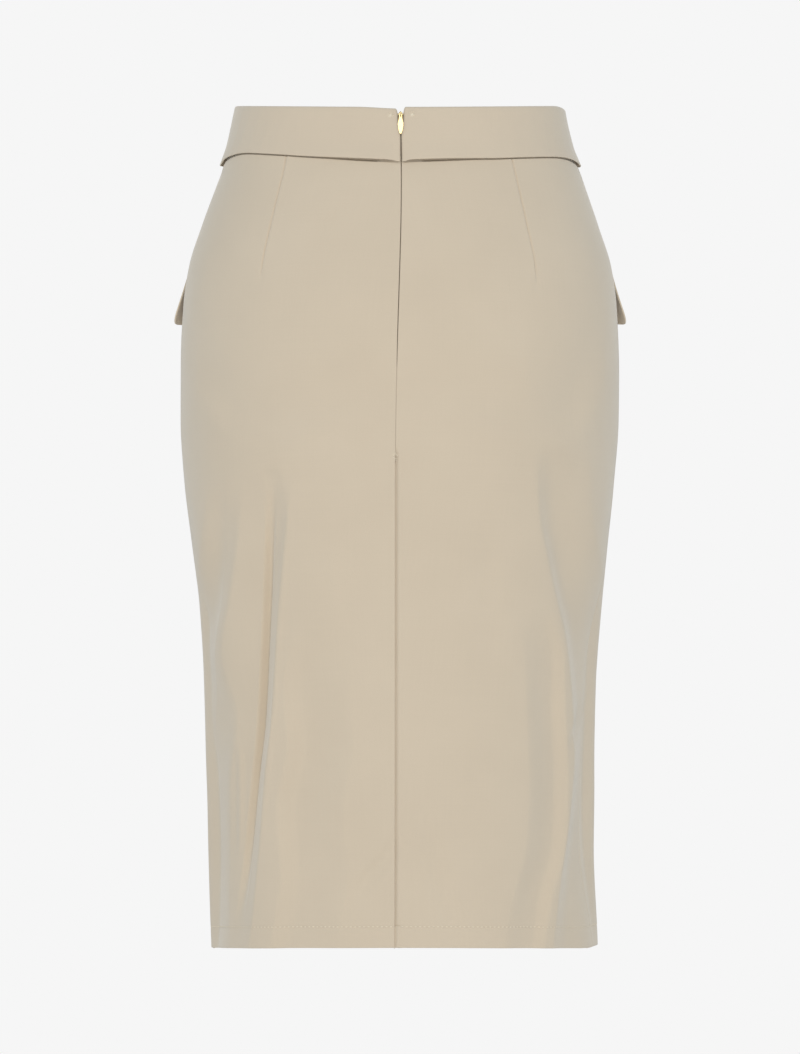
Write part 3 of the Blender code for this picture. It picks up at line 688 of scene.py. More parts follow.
# %% Columns of a panel
EDGE_ZONE = 4.6  # beside an edge the columns keep their own distances from it
DART_ZONE = 1.7  # so do the columns beside a dart, over this many degrees
EDGE_LINES = (1.4, 2.2, 3.4)
DART_LINES = (-2.6, -1.5, -0.75, -0.35, 0.0, 0.35, 0.75, 1.5, 2.6)
SPACING_DROP, SPACING_SCALE = 80.0, 2.0  # where columns are spaced, and millimetres in a degree


def edge_columns(share, roll, beyond):
    """Columns beside one edge: the allowance beyond it, its roll and distances in from it."""
    distances = [-d for d in beyond] + roll_steps(roll) + list(EDGE_LINES)
    sign = 1 if share == 0 else -1
    return [(share, sign * d) for d in distances]


def panel_columns(
    panel, count, darts, start_extra, end_extra, start_roll=SEAM_ROLL, end_roll=SEAM_ROLL
):
    """(share, millimetres) of every column, in order across the panel."""
    start, end = edges(panel, SPACING_DROP, 0.0)
    width = (end - start) * SPACING_SCALE
    shares = [s for s in np.linspace(0, 1, count) if EDGE_ZONE < s * width < width - EDGE_ZONE]
    columns = [(s, 0.0) for s in shares]
    for turn in darts:
        middle = (turn - start) / (end - start)
        columns = [c for c in columns if abs(c[0] - middle) * (end - start) > DART_ZONE]
        columns += [(middle, d) for d in DART_LINES]
    columns += edge_columns(0, start_roll, start_extra) + edge_columns(1, end_roll, end_extra)
    return sorted(columns, key=lambda c: c[0] * width + c[1])


# %% The tuck under the waistband
TUCK = 1.5  # the skirt's cloth lies this far in where the waistband covers it
TUCK_FLOOR, TUCK_DEEPER, TUCK_DEEPER_AT_ZIP = 0.3, 1.4, 3.4
TUCK_HEIGHT, TUCK_HEIGHT_AT_ZIP, TUCK_ZIP = 0.75, 1.5, 14.0
TUCK_NEAR, TUCK_FAR = 20.0, 68.0
TUCK_RISE = 0.95  # height over which the tuck ends behind the band
TUCK_LEAST = 0.3  # share of the tuck that is left at the zip
TAPE_CLEAR, TAPE_CLEAR_RUN = 14.5, 5.0  # nearer to the zip the tuck stays outside its tape


def tuck(turn, drop):
    """How far the skirt's cloth is drawn in where the waistband is sewn on."""
    below = drop - band_depth(turn)
    from_zip = np.abs(turn_from(turn)) * back_per_degree(drop)
    near = 1 - ease((from_zip - TUCK_NEAR) / (TUCK_FAR - TUCK_NEAR))
    height = TUCK_HEIGHT + (TUCK_HEIGHT_AT_ZIP - TUCK_HEIGHT) * near
    deeper = TUCK_DEEPER + (TUCK_DEEPER_AT_ZIP - TUCK_DEEPER) * near
    deeper = deeper * ease((from_zip - TAPE_CLEAR) / TAPE_CLEAR_RUN)
    rise = np.clip((height - below) / (height - TUCK_FLOOR), 0, 1)
    middle = np.clip(1 - (TUCK_FLOOR - below) / TUCK_RISE, 0, 1)
    depth = np.where(below > TUCK_FLOOR, (TUCK + deeper) * rise, TUCK + deeper * middle)
    return depth * (TUCK_LEAST + (1 - TUCK_LEAST) * ease(from_zip / TUCK_ZIP))


print("tuck beside the zip, mm:", round(float(tuck(10.0, band_depth(10.0))), 2))

# %% Rows of a panel
BAND_OVERLAP = 9.0  # a panel reaches this far up behind the waistband's edge
ABOVE_BAND_EDGE = (
    13.5, 12.2, 11.4, 10.9, 10.5, 10.2, 9.9, 9.6, 9.3, 9.0, 8.6, 8.0, 7.0, 4.0, 0.0)
HEM_STITCH = 16.4  # height of the hem's stitches above its fold
TURNED_HEM = (HEM_DEPTH, HEM_STITCH, 12.0, 7.0, 3.0)
ABOVE_HEM_FOLD = (2.2, 4.5, 8.0, 12.0, 15.0, 16.0, HEM_STITCH, 16.8, 17.8, 20.0)
HEM_ZONE, BAND_ZONE, ROW_HEIGHT = 22.5, 15.5, 610.0  # where rows are a share of a panel's height


def panel_rows(count):
    """(share, millimetres) of every row, from the end of the turned-up hem to the top."""
    hem = [-d for d in TURNED_HEM] + roll_steps(HEM_ROLL) + list(ABOVE_HEM_FOLD)
    shares = [
        s for s in np.linspace(0, 1, count) if HEM_ZONE < s * ROW_HEIGHT < ROW_HEIGHT - BAND_ZONE
    ]
    top = [(1.0, -d) for d in ABOVE_BAND_EDGE]
    return [(0.0, d) for d in hem] + [(s, 0.0) for s in shares] + top


ROWS = 190
rows = panel_rows(ROWS)
print("rows of a panel:", len(rows))

# %% Points and faces of a panel
STITCH_GROOVE, GROOVE_WIDTH = 0.3, 0.9  # the hem's stitches pull the cloth in


def panel_points(panel, columns, rows, start_roll=SEAM_ROLL, end_roll=SEAM_ROLL, special=None):
    """Points of a panel's grid, and where they lie. special may move what is past an edge."""
    share, offset = (np.array(v) for v in zip(*columns))
    up_share, up_offset = (np.array(v) for v in zip(*rows))
    share, up_share = np.meshgrid(share, up_share)
    offset, up_offset = np.meshgrid(offset, up_offset)
    rise, hem_inside = turned_edge(up_offset, HEM_ROLL)
    at_hem = up_share == 0
    rise, hem_inside = np.where(at_hem, rise, 0), np.where(at_hem, hem_inside, 0)
    at_start, at_end = share == 0, share == 1
    start_aside, start_in = turned_edge(offset, start_roll)
    end_aside, end_in = turned_edge(-offset, end_roll)
    aside = np.where(at_start, start_aside, np.where(at_end, -end_aside, offset))
    inside = np.where(at_start, start_in, np.where(at_end, end_in, 0)) + hem_inside
    turn = np.full_like(share, 90.0)
    for _ in range(3):
        drop = LENGTH - up_share * (LENGTH - band_depth(turn) + BAND_OVERLAP) - rise
        drop = drop - np.where(up_share == 1, up_offset, 0)
        start, end = edges(panel, drop, SLIT_HALF(drop))
        start_scale, end_scale = edge_scales(panel, drop)
        scale = np.where(share > 0.5, end_scale, start_scale)
        turn = start + (end - start) * share + aside / scale
    if special is not None:
        turn, drop, inside = special(turn, drop, inside, share, offset)
    stitched = np.exp(-(((up_offset - HEM_STITCH) / GROOVE_WIDTH) ** 2)) * at_hem
    sunk = inside + STITCH_GROOVE * stitched + tuck(turn, drop)
    at = {"share": share, "offset": offset, "drop": drop, "up": up_offset, "hem": at_hem * 1.0}
    return skin(turn, drop, -sunk), at


def kept_faces(at, *left_out):
    """Which faces of a grid stay: those that no rule leaves out."""
    face = {name: (value[:-1, :-1] + value[1:, 1:]) / 2 for name, value in at.items()}
    keep = np.ones_like(face["drop"], dtype=bool)
    for rule in left_out:
        keep &= ~rule(face)
    return keep


def past_start(face, distance):
    """Faces that lie further than a distance past the panel's first edge."""
    return (face["share"] < 0.01) & (face["offset"] < -distance)


def past_end(face, distance):
    """Faces that lie further than a distance past the panel's last edge."""
    return (face["share"] > 0.99) & (face["offset"] > distance)


def inside_hem(face):
    """An allowance where the turned-up hem would cover it."""
    in_hem = (face["hem"] > 0) & (face["up"] < HEM_DEPTH + 1)
    return in_hem & (past_start(face, 1.0) | past_end(face, 1.0))


# %% Front panel
FRONT_COLUMNS, BACK_COLUMNS = 190, 170
ALLOWANCE = (SEAM_ALLOWANCE, 7.5, 4.0, 1.8)
front_darts = [180 - FRONT_DART, 180 + FRONT_DART]
columns = panel_columns("front", FRONT_COLUMNS, front_darts, ALLOWANCE, ALLOWANCE)
points, at = panel_points("front", columns, rows)
front_panel = sheet_from_grid("skirt_front", points, CLOTH, cotton, kept_faces(at, inside_hem))

# %% [markdown]
# The left half of the back laps over the right one at the vent. Its edge there is turned in
# as a wide facing, and above the vent only the seam's narrow allowance is left, so the faces
# of the facing are dropped where the cloth wouldn't reach.

# %% Left half of the back
VENT_TOP, VENT_FACING, VENT_ROLL = 274.0, 31.0, 0.55
FACING_START = VENT_TOP + 4
FACING = (VENT_FACING, 26.0, 20.0, 15.0, *ALLOWANCE)


def above_facing(face):
    """The facing, where the vent is still closed by the seam."""
    return past_end(face, SEAM_ALLOWANCE) & (face["drop"] < FACING_START)


columns = panel_columns(
    "back_left", BACK_COLUMNS, [LEFT_DART], ALLOWANCE, FACING, end_roll=VENT_ROLL
)
points, at = panel_points("back_left", columns, rows, end_roll=VENT_ROLL)
keep = kept_faces(at, inside_hem, above_facing)
back_left = sheet_from_grid("skirt_back_left", points, CLOTH, cotton, keep)

# %% [markdown]
# The right half carries the vent's underlap, a strip cut on to the same piece. Above the
# vent its edge rolls inside like the others. Below, the cloth sinks a little and runs on flat
# behind the left half. The two ways are blended over a short height, and the allowance is
# snipped there, as a maker would.

# %% Right half of the back
UNDERLAP, UNDERLAP_SLANT, UNDERLAP_SLANT_FADE = 40.0, 0.45, 70.0
LAP_DROP, LAP_RAMP, LAP_RUN = 1.5, 3.0, 12.0
LAP_END_SINK, LAP_END_WIDTH = 0.35, 2.0
SNIP_ABOVE, SNIP_HALF, SNIP_START = 6.0, 7.5, 0.2
STRIP = (UNDERLAP, 39.0, 34.0, 28.0, 22.0, 16.0, *ALLOWANCE)


def lapped_edge(turn, drop, inside, share, offset):
    """Below the vent's top the edge runs on flat under the left half, instead of rolling in."""
    scale = back_per_degree(drop)
    beyond = np.where(share == 0, np.maximum(-offset, 0), 0)
    down = ease((drop - VENT_TOP + LAP_RUN) / LAP_RUN)
    flat_turn = centre_turn(drop) + (SLIT_HALF(drop) + offset) / scale
    turn = np.where(share == 0, turn * (1 - down) + flat_turn * down, turn)
    slant = beyond * UNDERLAP_SLANT * (1 - ease((drop - VENT_TOP) / UNDERLAP_SLANT_FADE))
    from_line = (turn - centre_turn(drop)) * scale
    sunk = LAP_DROP * (1 - ease(from_line / LAP_RAMP))
    edge_end = LAP_END_SINK * ease((beyond - UNDERLAP + LAP_END_WIDTH) / LAP_END_WIDTH)
    inside = inside * np.where(share == 0, 1 - down, 1) + (sunk + edge_end) * down
    return turn, drop + slant * down, inside


def above_underlap(face):
    """The strip above its slanting top."""
    top = VENT_TOP + 1 - face["offset"] * UNDERLAP_SLANT
    return past_start(face, SEAM_ALLOWANCE) & (face["drop"] < top)


def snipped(face):
    """The allowance just above the vent."""
    return past_start(face, SNIP_START) & (np.abs(face["drop"] - VENT_TOP + SNIP_ABOVE) < SNIP_HALF)


columns = panel_columns("back_right", BACK_COLUMNS, [RIGHT_DART], STRIP, ALLOWANCE)
points, at = panel_points("back_right", columns, rows, special=lapped_edge)
keep = kept_faces(at, above_underlap, snipped)
back_right = sheet_from_grid("skirt_back_right", points, CLOTH, cotton, keep)

# %% [markdown]
# ## The waistband
# The waistband is a strip folded over the skirt's top edge, in three lengths: one in front
# and two that end at the zip. Its outer leg ends in a turned-under fold, which throws a fine
# line of shade. It stands off most beside the zip and at the sides, and hardly at all between
# them, as a short table says. At the zip and at the side seams the two legs close on each
# other in a rounded edge, which a plain bevel couldn't do for both legs at once, so there the
# grid is drawn in to the middle of the band like the end of a pillow.

# %% Sizes of the waistband
BAND_OUTSIDE, BAND_INSIDE = 1.3, -2.5  # faces of the folded strip, out from the skirt's
STAND_OFF_HEIGHT = 16.0  # the outer leg starts to stand off this far above its edge
STAND_OFF_COLUMNS = ("turn", "off")
STAND_OFF = (
    (0, 1.4),
    (11, 1.5),
    (18, 1.3),
    (25, 0.7),
    (33, 0.2),
    (44, 0.0),
    (58, 0.0),
    (68, 0.6),
    (80, 1.1),
    (90, 1.4),
    (112, 1.4),
    (180, 1.3),
)
STAND_OFF_AT = table_curve(STAND_OFF, STAND_OFF_COLUMNS, "off")
BAND_TIE = 9.0  # at the zip the leg lies close, and stands off over this distance
BAND_INNER_SHORT = 2.0  # the inner leg ends this far above the outer one
BAND_EDGE_ROLL, BAND_TURN_UNDER = 0.5, 7.0
BAND_END_ZONE, BAND_UNDER_SHORT = 3.4, 1.6  # the turned-under leg stops short of the ends
ZIP_END_ROUND, SIDE_END_ROUND = 1.7, 0.7
LOW_TOP, LOW_TOP_LENGTH, LOW_TOP_HEIGHT = 1.3, 34.0, 16.0  # the left strip sinks at the zip
BAND_ENDS = (0.0, 0.06, 0.2, 0.4, 0.7, 1.1, 1.7, 2.4, BAND_END_ZONE)
BAND_ROUND = {"front": 176, "back_left": 96, "back_right": 96}
BAND_UNDER_ROWS, BAND_EDGE_ROWS = (BAND_TURN_UNDER, 5.0, 3.0, 1.6), (1.4, 2.4)
BAND_MIDDLE = 20.0  # the drop at which a strip's height is looked up
RIPPLE, RIPPLE_ROUND, RIPPLE_DOWN, RIPPLE_TOP = 0.06, 0.9, 0.11, 8.0

# %% Points of a waistband strip


def pillow_end(from_end, radius):
    """1 inside the strip, falling to 0 at its end like the rim of a pillow."""
    return np.sqrt(np.clip(1 - (1 - np.clip(from_end / radius, 0, 1)) ** 2, 0, 1))


def band_rows():
    """(part, millimetres) of every row. Part 0 is the lower edge, 1 the top of the outer leg,
    2 the top of the inner leg and 3 its end."""
    edge = [-d for d in BAND_UNDER_ROWS] + roll_steps(BAND_EDGE_ROLL) + list(BAND_EDGE_ROWS)
    legs = [*np.linspace(0.1, 1.0, 14), *np.linspace(1.0, 2.0, 8)[1:-1], *np.linspace(2.0, 3.0, 14)]
    return [(0.0, d) for d in edge] + [(part, 0.0) for part in legs]


def band_points(panel):
    """Points of a waistband strip, from the turned-under edge over the top and down inside."""
    main = [(s, 0.0) for s in np.linspace(0, 1, BAND_ROUND[panel])[2:-2]]
    columns = [(0.0, d) for d in BAND_ENDS] + main + [(1.0, -d) for d in reversed(BAND_ENDS)]
    rows = band_rows()
    share, offset = (np.array(v) for v in zip(*columns))
    part, up = (np.array(v) for v in zip(*rows))
    share, part = np.meshgrid(share, part)
    offset, up = np.meshgrid(offset, up)
    start, end = edges(panel, BAND_MIDDLE, 0.0)
    depth = band_depth(start + (end - start) * share)
    radius = (BAND_OUTSIDE - BAND_INSIDE) / 2
    rise, under = turned_edge(up, BAND_EDGE_ROLL)
    at_edge = part == 0
    rise, under = np.where(at_edge, rise, 0), np.where(at_edge, under, 0)
    outer = radius + (depth - radius) * (1 - np.clip(part, 0, 1)) - rise
    inner = radius + (depth - BAND_INNER_SHORT - radius) * np.clip(part - 2, 0, 1)
    lean = np.pi * np.clip(part - 1, 0, 1)
    over = radius * (1 - np.sin(lean))
    drop = np.where(part <= 1, outer, np.where(part >= 2, inner, over))
    middle = (BAND_OUTSIDE + BAND_INSIDE) / 2
    out = radius * np.cos(lean) - under
    start, end = edges(panel, drop, SLIT_HALF(drop))
    start_scale, end_scale = edge_scales(panel, drop)
    scale = np.where(share > 0.5, end_scale, start_scale)
    quarter = BAND_EDGE_ROLL * np.pi / 2
    turned = np.where(at_edge, ease((quarter - up) / (2 * quarter)), 0)
    short = BAND_UNDER_SHORT * turned * (1 - np.abs(offset) / BAND_END_ZONE)
    short = np.where(share == 0, short, np.where(share == 1, -short, 0))
    turn = start + (end - start) * share + (offset + short) / scale
    from_zip = np.abs(turn_from(turn))
    stand_off = STAND_OFF_AT(from_zip)
    from_zip = from_zip * back_per_degree(drop)
    stand_off = stand_off * ease(from_zip / BAND_TIE)
    near_edge = 1 - (depth - drop) / STAND_OFF_HEIGHT
    out = out + np.where(part < 1, stand_off * ease(near_edge), 0)
    round_start = ZIP_END_ROUND if panel == "back_right" else SIDE_END_ROUND
    round_end = ZIP_END_ROUND if panel == "back_left" else SIDE_END_ROUND
    closed = np.where(share == 0, pillow_end(offset, round_start), 1)
    closed = np.where(share == 1, pillow_end(-offset, round_end), closed)
    closed = 1 - (1 - closed) * (1 - turned)
    if panel == "back_left":
        lower = (1 - ease(from_zip / LOW_TOP_LENGTH)) * (1 - ease(drop / LOW_TOP_HEIGHT))
        drop = drop + LOW_TOP * lower
    ripple = RIPPLE * np.sin(turn * RIPPLE_ROUND + drop * RIPPLE_DOWN) * ease(drop / RIPPLE_TOP)
    out = middle + out * closed + ripple
    return body(turn, drop) + outward(turn, drop) * out[..., None]


# %% The three strips
bands = {
    panel: sheet_from_grid(f"band_{panel}", band_points(panel), CLOTH, banding)
    for panel in ("front", "back_left", "back_right")
}

# %% [markdown]
# ## Pocket flaps
# Each hip has a flap sewn along its top edge, with two rounded lower corners. It curls away
# from the hip towards its lower edge. A flap is two layers bagged out and pressed, so its
# wall is thicker and a bevel rounds the rim.

# %% Pocket flaps
FLAP_COLUMNS = ("side", "near", "far", "top", "stand_near", "stand_far")
FLAPS = (
    ("left", 262.0, 207.0, 120.5, 8.6, 3.0),
    ("right", 98.0, 153.0, 119.0, 9.4, 3.4),
)
FLAP_HEIGHT, FLAP_CORNER, FLAP_CURL, FLAP_CLOTH = 48.0, 12.0, 1.9, 1.1
FLAP_GAP, FLAP_RIM = 0.5, 0.45


def flap_points(row):
    """Points of a flap, which are the panel's own, moved out more and more towards its edge."""
    f = dict(zip(FLAP_COLUMNS, row))
    low, high = sorted((f["near"], f["far"]))
    span = np.linspace(low, high, 20)
    along = skin(span, np.full_like(span, f["top"] + FLAP_HEIGHT / 2))
    width = np.linalg.norm(np.diff(along, axis=0), axis=1).sum()
    corner = FLAP_CORNER * (1 - np.cos(np.linspace(0, np.pi / 2, 10)[:-1])) / width
    middle = np.linspace(FLAP_CORNER / width, 1 - FLAP_CORNER / width, 34)
    columns = np.array(list(corner) + list(middle) + list(1 - corner[::-1]))
    column, up = np.meshgrid(columns, np.linspace(0, 1, 26))
    from_end = np.minimum(column, 1 - column) * width
    short = np.clip(FLAP_CORNER - from_end, 0, FLAP_CORNER)
    height = FLAP_HEIGHT - (FLAP_CORNER - np.sqrt(FLAP_CORNER**2 - short**2))
    down = (1 - up) * height
    turn = low + (high - low) * column
    near_share = np.abs(turn - f["far"]) / (high - low)
    stand = f["stand_far"] + (f["stand_near"] - f["stand_far"]) * near_share
    curl = stand * (down / FLAP_HEIGHT) ** FLAP_CURL
    return skin(turn, f["top"] + down, FLAP_CLOTH + FLAP_GAP + curl)


flaps = {}
for row in FLAPS:
    flap = sheet_from_grid(f"flap_{row[0]}", flap_points(row), FLAP_CLOTH, cotton)
    rim = flap.modifiers.new("Pressed rim", "BEVEL")
    rim.width = FLAP_RIM * MM
    rim.segments = 3
    rim.limit_method = "ANGLE"
    rim.angle_limit = math.radians(50)
    flaps[row[0]] = flap


# %% [markdown]
# ## The zip
# The zip is 20 cm long and closed. Its two tapes lie inside, behind the slit, and the coils of
# teeth are on their inner side, where the open top shows them. Tapes and teeth are coloured a
# dark brown that is painted shade for the slit. A tooth is one small bent loop:
# it is modelled once, from a torus cut in half, and copied along both tapes.

# %% Zip tapes
TAPE_TOP, TAPE_END, TAPE_WIDTH, TAPE_CLOTH = 5.5, 206.0, 13.0, 0.5
TAPE_INSIDE_BAND, TAPE_INSIDE_SKIRT = 2.85, 1.75
TAPE_STEP, TAPE_STEP_RUN = 43.0, 8.0
TAPE_EDGE = ((0, 1.4), (11, 1.4), (16, 0.06), (LENGTH, 0.06))
TAPE_INNER_EDGE = table_curve(TAPE_EDGE, ("drop", "edge"), "edge")


def tape_place(from_line, drop, side, further_in):
    """A point on a tape, at a distance from the centre line and further inside."""
    turn = centre_turn(drop) + side * from_line / back_per_degree(drop)
    below_band = ease((drop - TAPE_STEP) / TAPE_STEP_RUN)
    inside = TAPE_INSIDE_BAND + (TAPE_INSIDE_SKIRT - TAPE_INSIDE_BAND) * below_band
    return skin(turn, drop, -inside - further_in)


SIDES = (("left", -1), ("right", 1))
TAPE_ACROSS = np.array([0.0, 0.08, 0.2, 0.35, 0.5, 0.65, 0.8, 0.92, 1.0])
TAPE_ROWS = 110
tapes = {}
for name, side in SIDES:
    across = TAPE_ACROSS if side > 0 else 1 - TAPE_ACROSS[::-1]
    across, up = np.meshgrid(across, np.linspace(0, 1, TAPE_ROWS))
    drop = TAPE_END - up * (TAPE_END - TAPE_TOP)
    edge = TAPE_INNER_EDGE(drop)
    from_line = edge + (TAPE_WIDTH - edge) * (across if side > 0 else 1 - across)
    points = tape_place(from_line, drop, side, 0.0)
    tapes[name] = sheet_from_grid(f"tape_{name}", points, TAPE_CLOTH, tape_darkened_for_shade)


# %% [markdown]
# The metal and the stitches are modelled by hand. An operator acts on all that is selected,
# so a few helpers select by place, apply modifiers, and copy a small model to many places.

# %% Helpers for modelling by hand


def nothing_selected():
    """Leaves object mode with nothing selected, so that an operator acts on one piece."""
    if bpy.context.mode != "OBJECT":
        bpy.ops.object.mode_set(mode="OBJECT")
    bpy.ops.object.select_all(action="DESELECT")


def pick(piece, test, kind="FACE"):
    """In edit mode, selects the faces or points whose middle passes a test."""
    bpy.ops.object.mode_set(mode="EDIT")
    bpy.ops.mesh.select_mode(type=kind)
    bpy.ops.mesh.select_all(action="DESELECT")
    bpy.ops.object.mode_set(mode="OBJECT")
    for part in piece.data.polygons if kind == "FACE" else piece.data.vertices:
        part.select = bool(test(part))
    bpy.ops.object.mode_set(mode="EDIT")


def applied(piece, modifier):
    """Applies a modifier to its piece."""
    bpy.context.view_layer.objects.active = piece
    bpy.ops.object.modifier_apply(modifier=modifier.name)


def rounded(piece, width, segments, **limit):
    """Rounds a piece's edges, as on a casting."""
    bevel = piece.modifiers.new("Cast edges", "BEVEL")
    bevel.width, bevel.segments = width * MM, segments
    for setting, value in limit.items():
        setattr(bevel, setting, value)
    applied(piece, bevel)


def coloured(piece, material):
    """Gives a piece its material and smooth shading over its gentle edges."""
    piece.data.materials.clear()
    piece.data.materials.append(material)
    nothing_selected()
    piece.select_set(True)
    bpy.context.view_layer.objects.active = piece
    bpy.ops.object.shade_smooth_by_angle(angle=math.radians(45))
    return piece


def join_copies(name, model, places, material):
    """One piece from many copies of a small model, each with its own mesh and place."""
    nothing_selected()
    copies = []
    for place in places:
        copy = model.copy()
        copy.data = model.data.copy()
        copy.data.transform(place)
        bpy.context.scene.collection.objects.link(copy)
        copy.select_set(True)
        copies.append(copy)
    bpy.context.view_layer.objects.active = copies[0]
    bpy.ops.object.join()
    piece = bpy.context.view_layer.objects.active
    piece.name = piece.data.name = name
    bpy.data.objects.remove(model)
    print(name, "copies:", len(places), "faces:", len(piece.data.polygons))
    return coloured(piece, material)


def frame_at(point, along, out):
    """A matrix whose X runs along, Z points out and origin is a point, all in metres."""
    along, out = Vector(along).normalized(), Vector(out).normalized()
    side = out.cross(along).normalized()
    out = along.cross(side)
    turned = Matrix((along, side, out)).transposed().to_4x4()
    return Matrix.Translation(Vector(point)) @ turned


# %% Zip teeth
TOOTH_PITCH = 1.5
TOOTH_START, TOOTH_STOP = 15.0, 203.0
TOOTH_FROM_LINE, TOOTH_OVER_TAPE = 1.15, 0.62

nothing_selected()
bpy.ops.mesh.primitive_torus_add(
    major_radius=0.95 * MM, minor_radius=0.26 * MM, major_segments=12, minor_segments=6
)
tooth = bpy.context.active_object
pick(tooth, lambda face: face.center.x > 0.05 * MM)
bpy.ops.mesh.delete(type="FACE")
bpy.ops.mesh.select_all(action="SELECT")
bpy.ops.transform.resize(value=(1.25, 0.62, 1.0))
bpy.ops.mesh.select_mode(type="EDGE")
bpy.ops.mesh.select_all(action="DESELECT")
bpy.ops.mesh.select_non_manifold()
bpy.ops.mesh.edge_face_add()
bpy.ops.object.mode_set(mode="OBJECT")
tooth.data.uv_layers[0].name = "Cloth"
coils = {}
for name, side in SIDES:
    nothing_selected()
    model = tooth.copy()
    model.data = tooth.data.copy()
    bpy.context.scene.collection.objects.link(model)
    places = []
    shift = 0.0 if side > 0 else TOOTH_PITCH / 2
    inward = TAPE_CLOTH + TOOTH_OVER_TAPE
    for drop in np.arange(TOOTH_START + shift, TOOTH_STOP, TOOTH_PITCH):
        point = tape_place(TOOTH_FROM_LINE, drop, side, inward)
        ahead = tape_place(0.2, drop, side, inward)
        below = tape_place(TOOTH_FROM_LINE, drop + 1.0, side, inward)
        places.append(frame_at(Vector(point) * MM, Vector(point - ahead), Vector(below - point)))
    coils[name] = join_copies(f"zip_teeth_{name}", model, places, tape_darkened_for_shade)
bpy.data.objects.remove(tooth)

# %% [markdown]
# ## Slider and pull
# The slider's body hides in the slit, and its crown, a small bridge, carries a leaf-shaped
# pull. Both are cast and plated. They are shaped from a cube and a grid: the crown by
# extruding the ends of a bar down to the body, the pull by narrowing rows of a flat grid to
# the leaf's outline. A lathe wouldn't do, because neither is round.

# %% The zip's own axes
PIVOT_DROP, PIVOT_OUT, SLIDER_LEAN = 5.4, 0.7, 16.0
pivot_turn = centre_turn(PIVOT_DROP)
upper, lower = (
    body(pivot_turn, drop) + outward(pivot_turn, drop) * BAND_OUTSIDE
    for drop in (PIVOT_DROP, PIVOT_DROP + SLIDER_LEAN)
)
zip_up = Vector(upper - lower)
zip_up.x = 0
zip_up.normalize()
zip_across = Vector((1, 0, 0))
zip_in = zip_up.cross(zip_across)
zip_place = Vector(upper) - zip_in * PIVOT_OUT
zip_turned = Matrix((zip_across, zip_in, zip_up)).transposed().to_4x4()
zip_axes = Matrix.Translation(zip_place * MM) @ zip_turned
print("pivot, mm:", [round(v, 2) for v in zip_place])


def cube(name, low, high):
    """A cube primitive stretched between two corners, in millimetres in the zip's axes."""
    nothing_selected()
    low, high = Vector(low), Vector(high)
    bpy.ops.mesh.primitive_cube_add(size=1, location=(low + high) / 2 * MM)
    piece = bpy.context.active_object
    piece.name = name
    bpy.ops.object.mode_set(mode="EDIT")
    bpy.ops.transform.resize(value=(high - low) * MM)
    bpy.ops.object.mode_set(mode="OBJECT")
    bpy.ops.object.transform_apply(location=True, rotation=True, scale=True)
    return piece


def into_zip(piece):
    """Moves a piece that was shaped round the origin to the zip, in its mesh."""
    piece.data.transform(zip_axes)
    return piece


# %% Slider
slider = cube("slider", (-1.2, 1.3, -4.5), (1.2, 6.9, 1.4))
pick(slider, lambda f: abs(f.normal.z) > 0.9)
bpy.ops.mesh.inset(thickness=0.5 * MM)
bpy.ops.transform.resize(value=(0.8, 1.0, 1.0), center_override=(0, 0, 0))
bpy.ops.object.mode_set(mode="OBJECT")
rounded(slider, 0.45, 3)
wing = cube("slider_wing", (-3.7, 6.25, -5.9), (3.7, 7.2, 1.3))
pick(wing, lambda f: f.normal.z < -0.9)
bpy.ops.transform.resize(value=(0.62, 1.0, 1.0))
bpy.ops.object.mode_set(mode="OBJECT")
rounded(wing, 0.35, 3)

crown = cube("slider_crown", (-0.34, -1.35, -2.15), (0.34, -0.55, 1.15))
pick(crown, lambda f: f.normal.y > 0.9)
bpy.ops.mesh.subdivide(number_cuts=3)
bpy.ops.object.mode_set(mode="OBJECT")
pick(crown, lambda f: f.normal.y > 0.9 and abs(f.center.z / MM + 0.5) > 0.85)
bpy.ops.mesh.extrude_region_move(TRANSFORM_OT_translate={"value": (0, 1.75 * MM, 0)})
bpy.ops.object.mode_set(mode="OBJECT")
rounded(crown, 0.2, 2)

nothing_selected()
for part in (slider, wing, crown):
    part.select_set(True)
bpy.context.view_layer.objects.active = slider
bpy.ops.object.join()
into_zip(coloured(slider, gold))
print("slider faces:", len(slider.data.polygons))

# %% Leaf-shaped pull
PULL_COLUMNS = ("below_pivot", "half_width")
PULL_OUTLINE = (
    (-0.55, 0.35),
    (-0.2, 0.85),
    (0.6, 1.08),
    (3.4, 1.25),
    (6.2, 1.75),
    (8.8, 2.25),
    (12.6, 1.7),
    (15.7, 0.75),
    (16.3, 0.35),
)
PULL_HALF = table_curve(PULL_OUTLINE, PULL_COLUMNS, "half_width")
PULL_THICK, PULL_ROWS, PULL_STRIPS = 0.8, 44, 10
top, bottom = PULL_OUTLINE[0][0], PULL_OUTLINE[-1][0]

nothing_selected()
bpy.ops.mesh.primitive_grid_add(
    x_subdivisions=PULL_STRIPS, y_subdivisions=PULL_ROWS, size=2 * MM, rotation=(math.pi / 2, 0, 0)
)
pull = bpy.context.active_object
pull.name = "pull"
bpy.ops.object.transform_apply(location=True, rotation=True, scale=True)
for row in range(PULL_ROWS + 1):
    height = (-1 + 2 * row / PULL_ROWS) * MM
    below = bottom + (top - bottom) * row / PULL_ROWS
    half = float(PULL_HALF(below))
    pick(pull, lambda v: abs(v.co.z - height) < 0.01 * MM and abs(v.co.y) < 0.01 * MM, "VERT")
    bpy.ops.transform.resize(value=(half, 1, 1), center_override=(0, 0, height))
    bpy.ops.transform.translate(value=(0, -0.05, -below * MM - height))
    bpy.ops.object.mode_set(mode="OBJECT")
for vert in pull.data.vertices:
    vert.co.y = 0.0
thick = pull.modifiers.new("Thickness", "SOLIDIFY")
thick.thickness, thick.offset = PULL_THICK * MM, 0.0
applied(pull, thick)

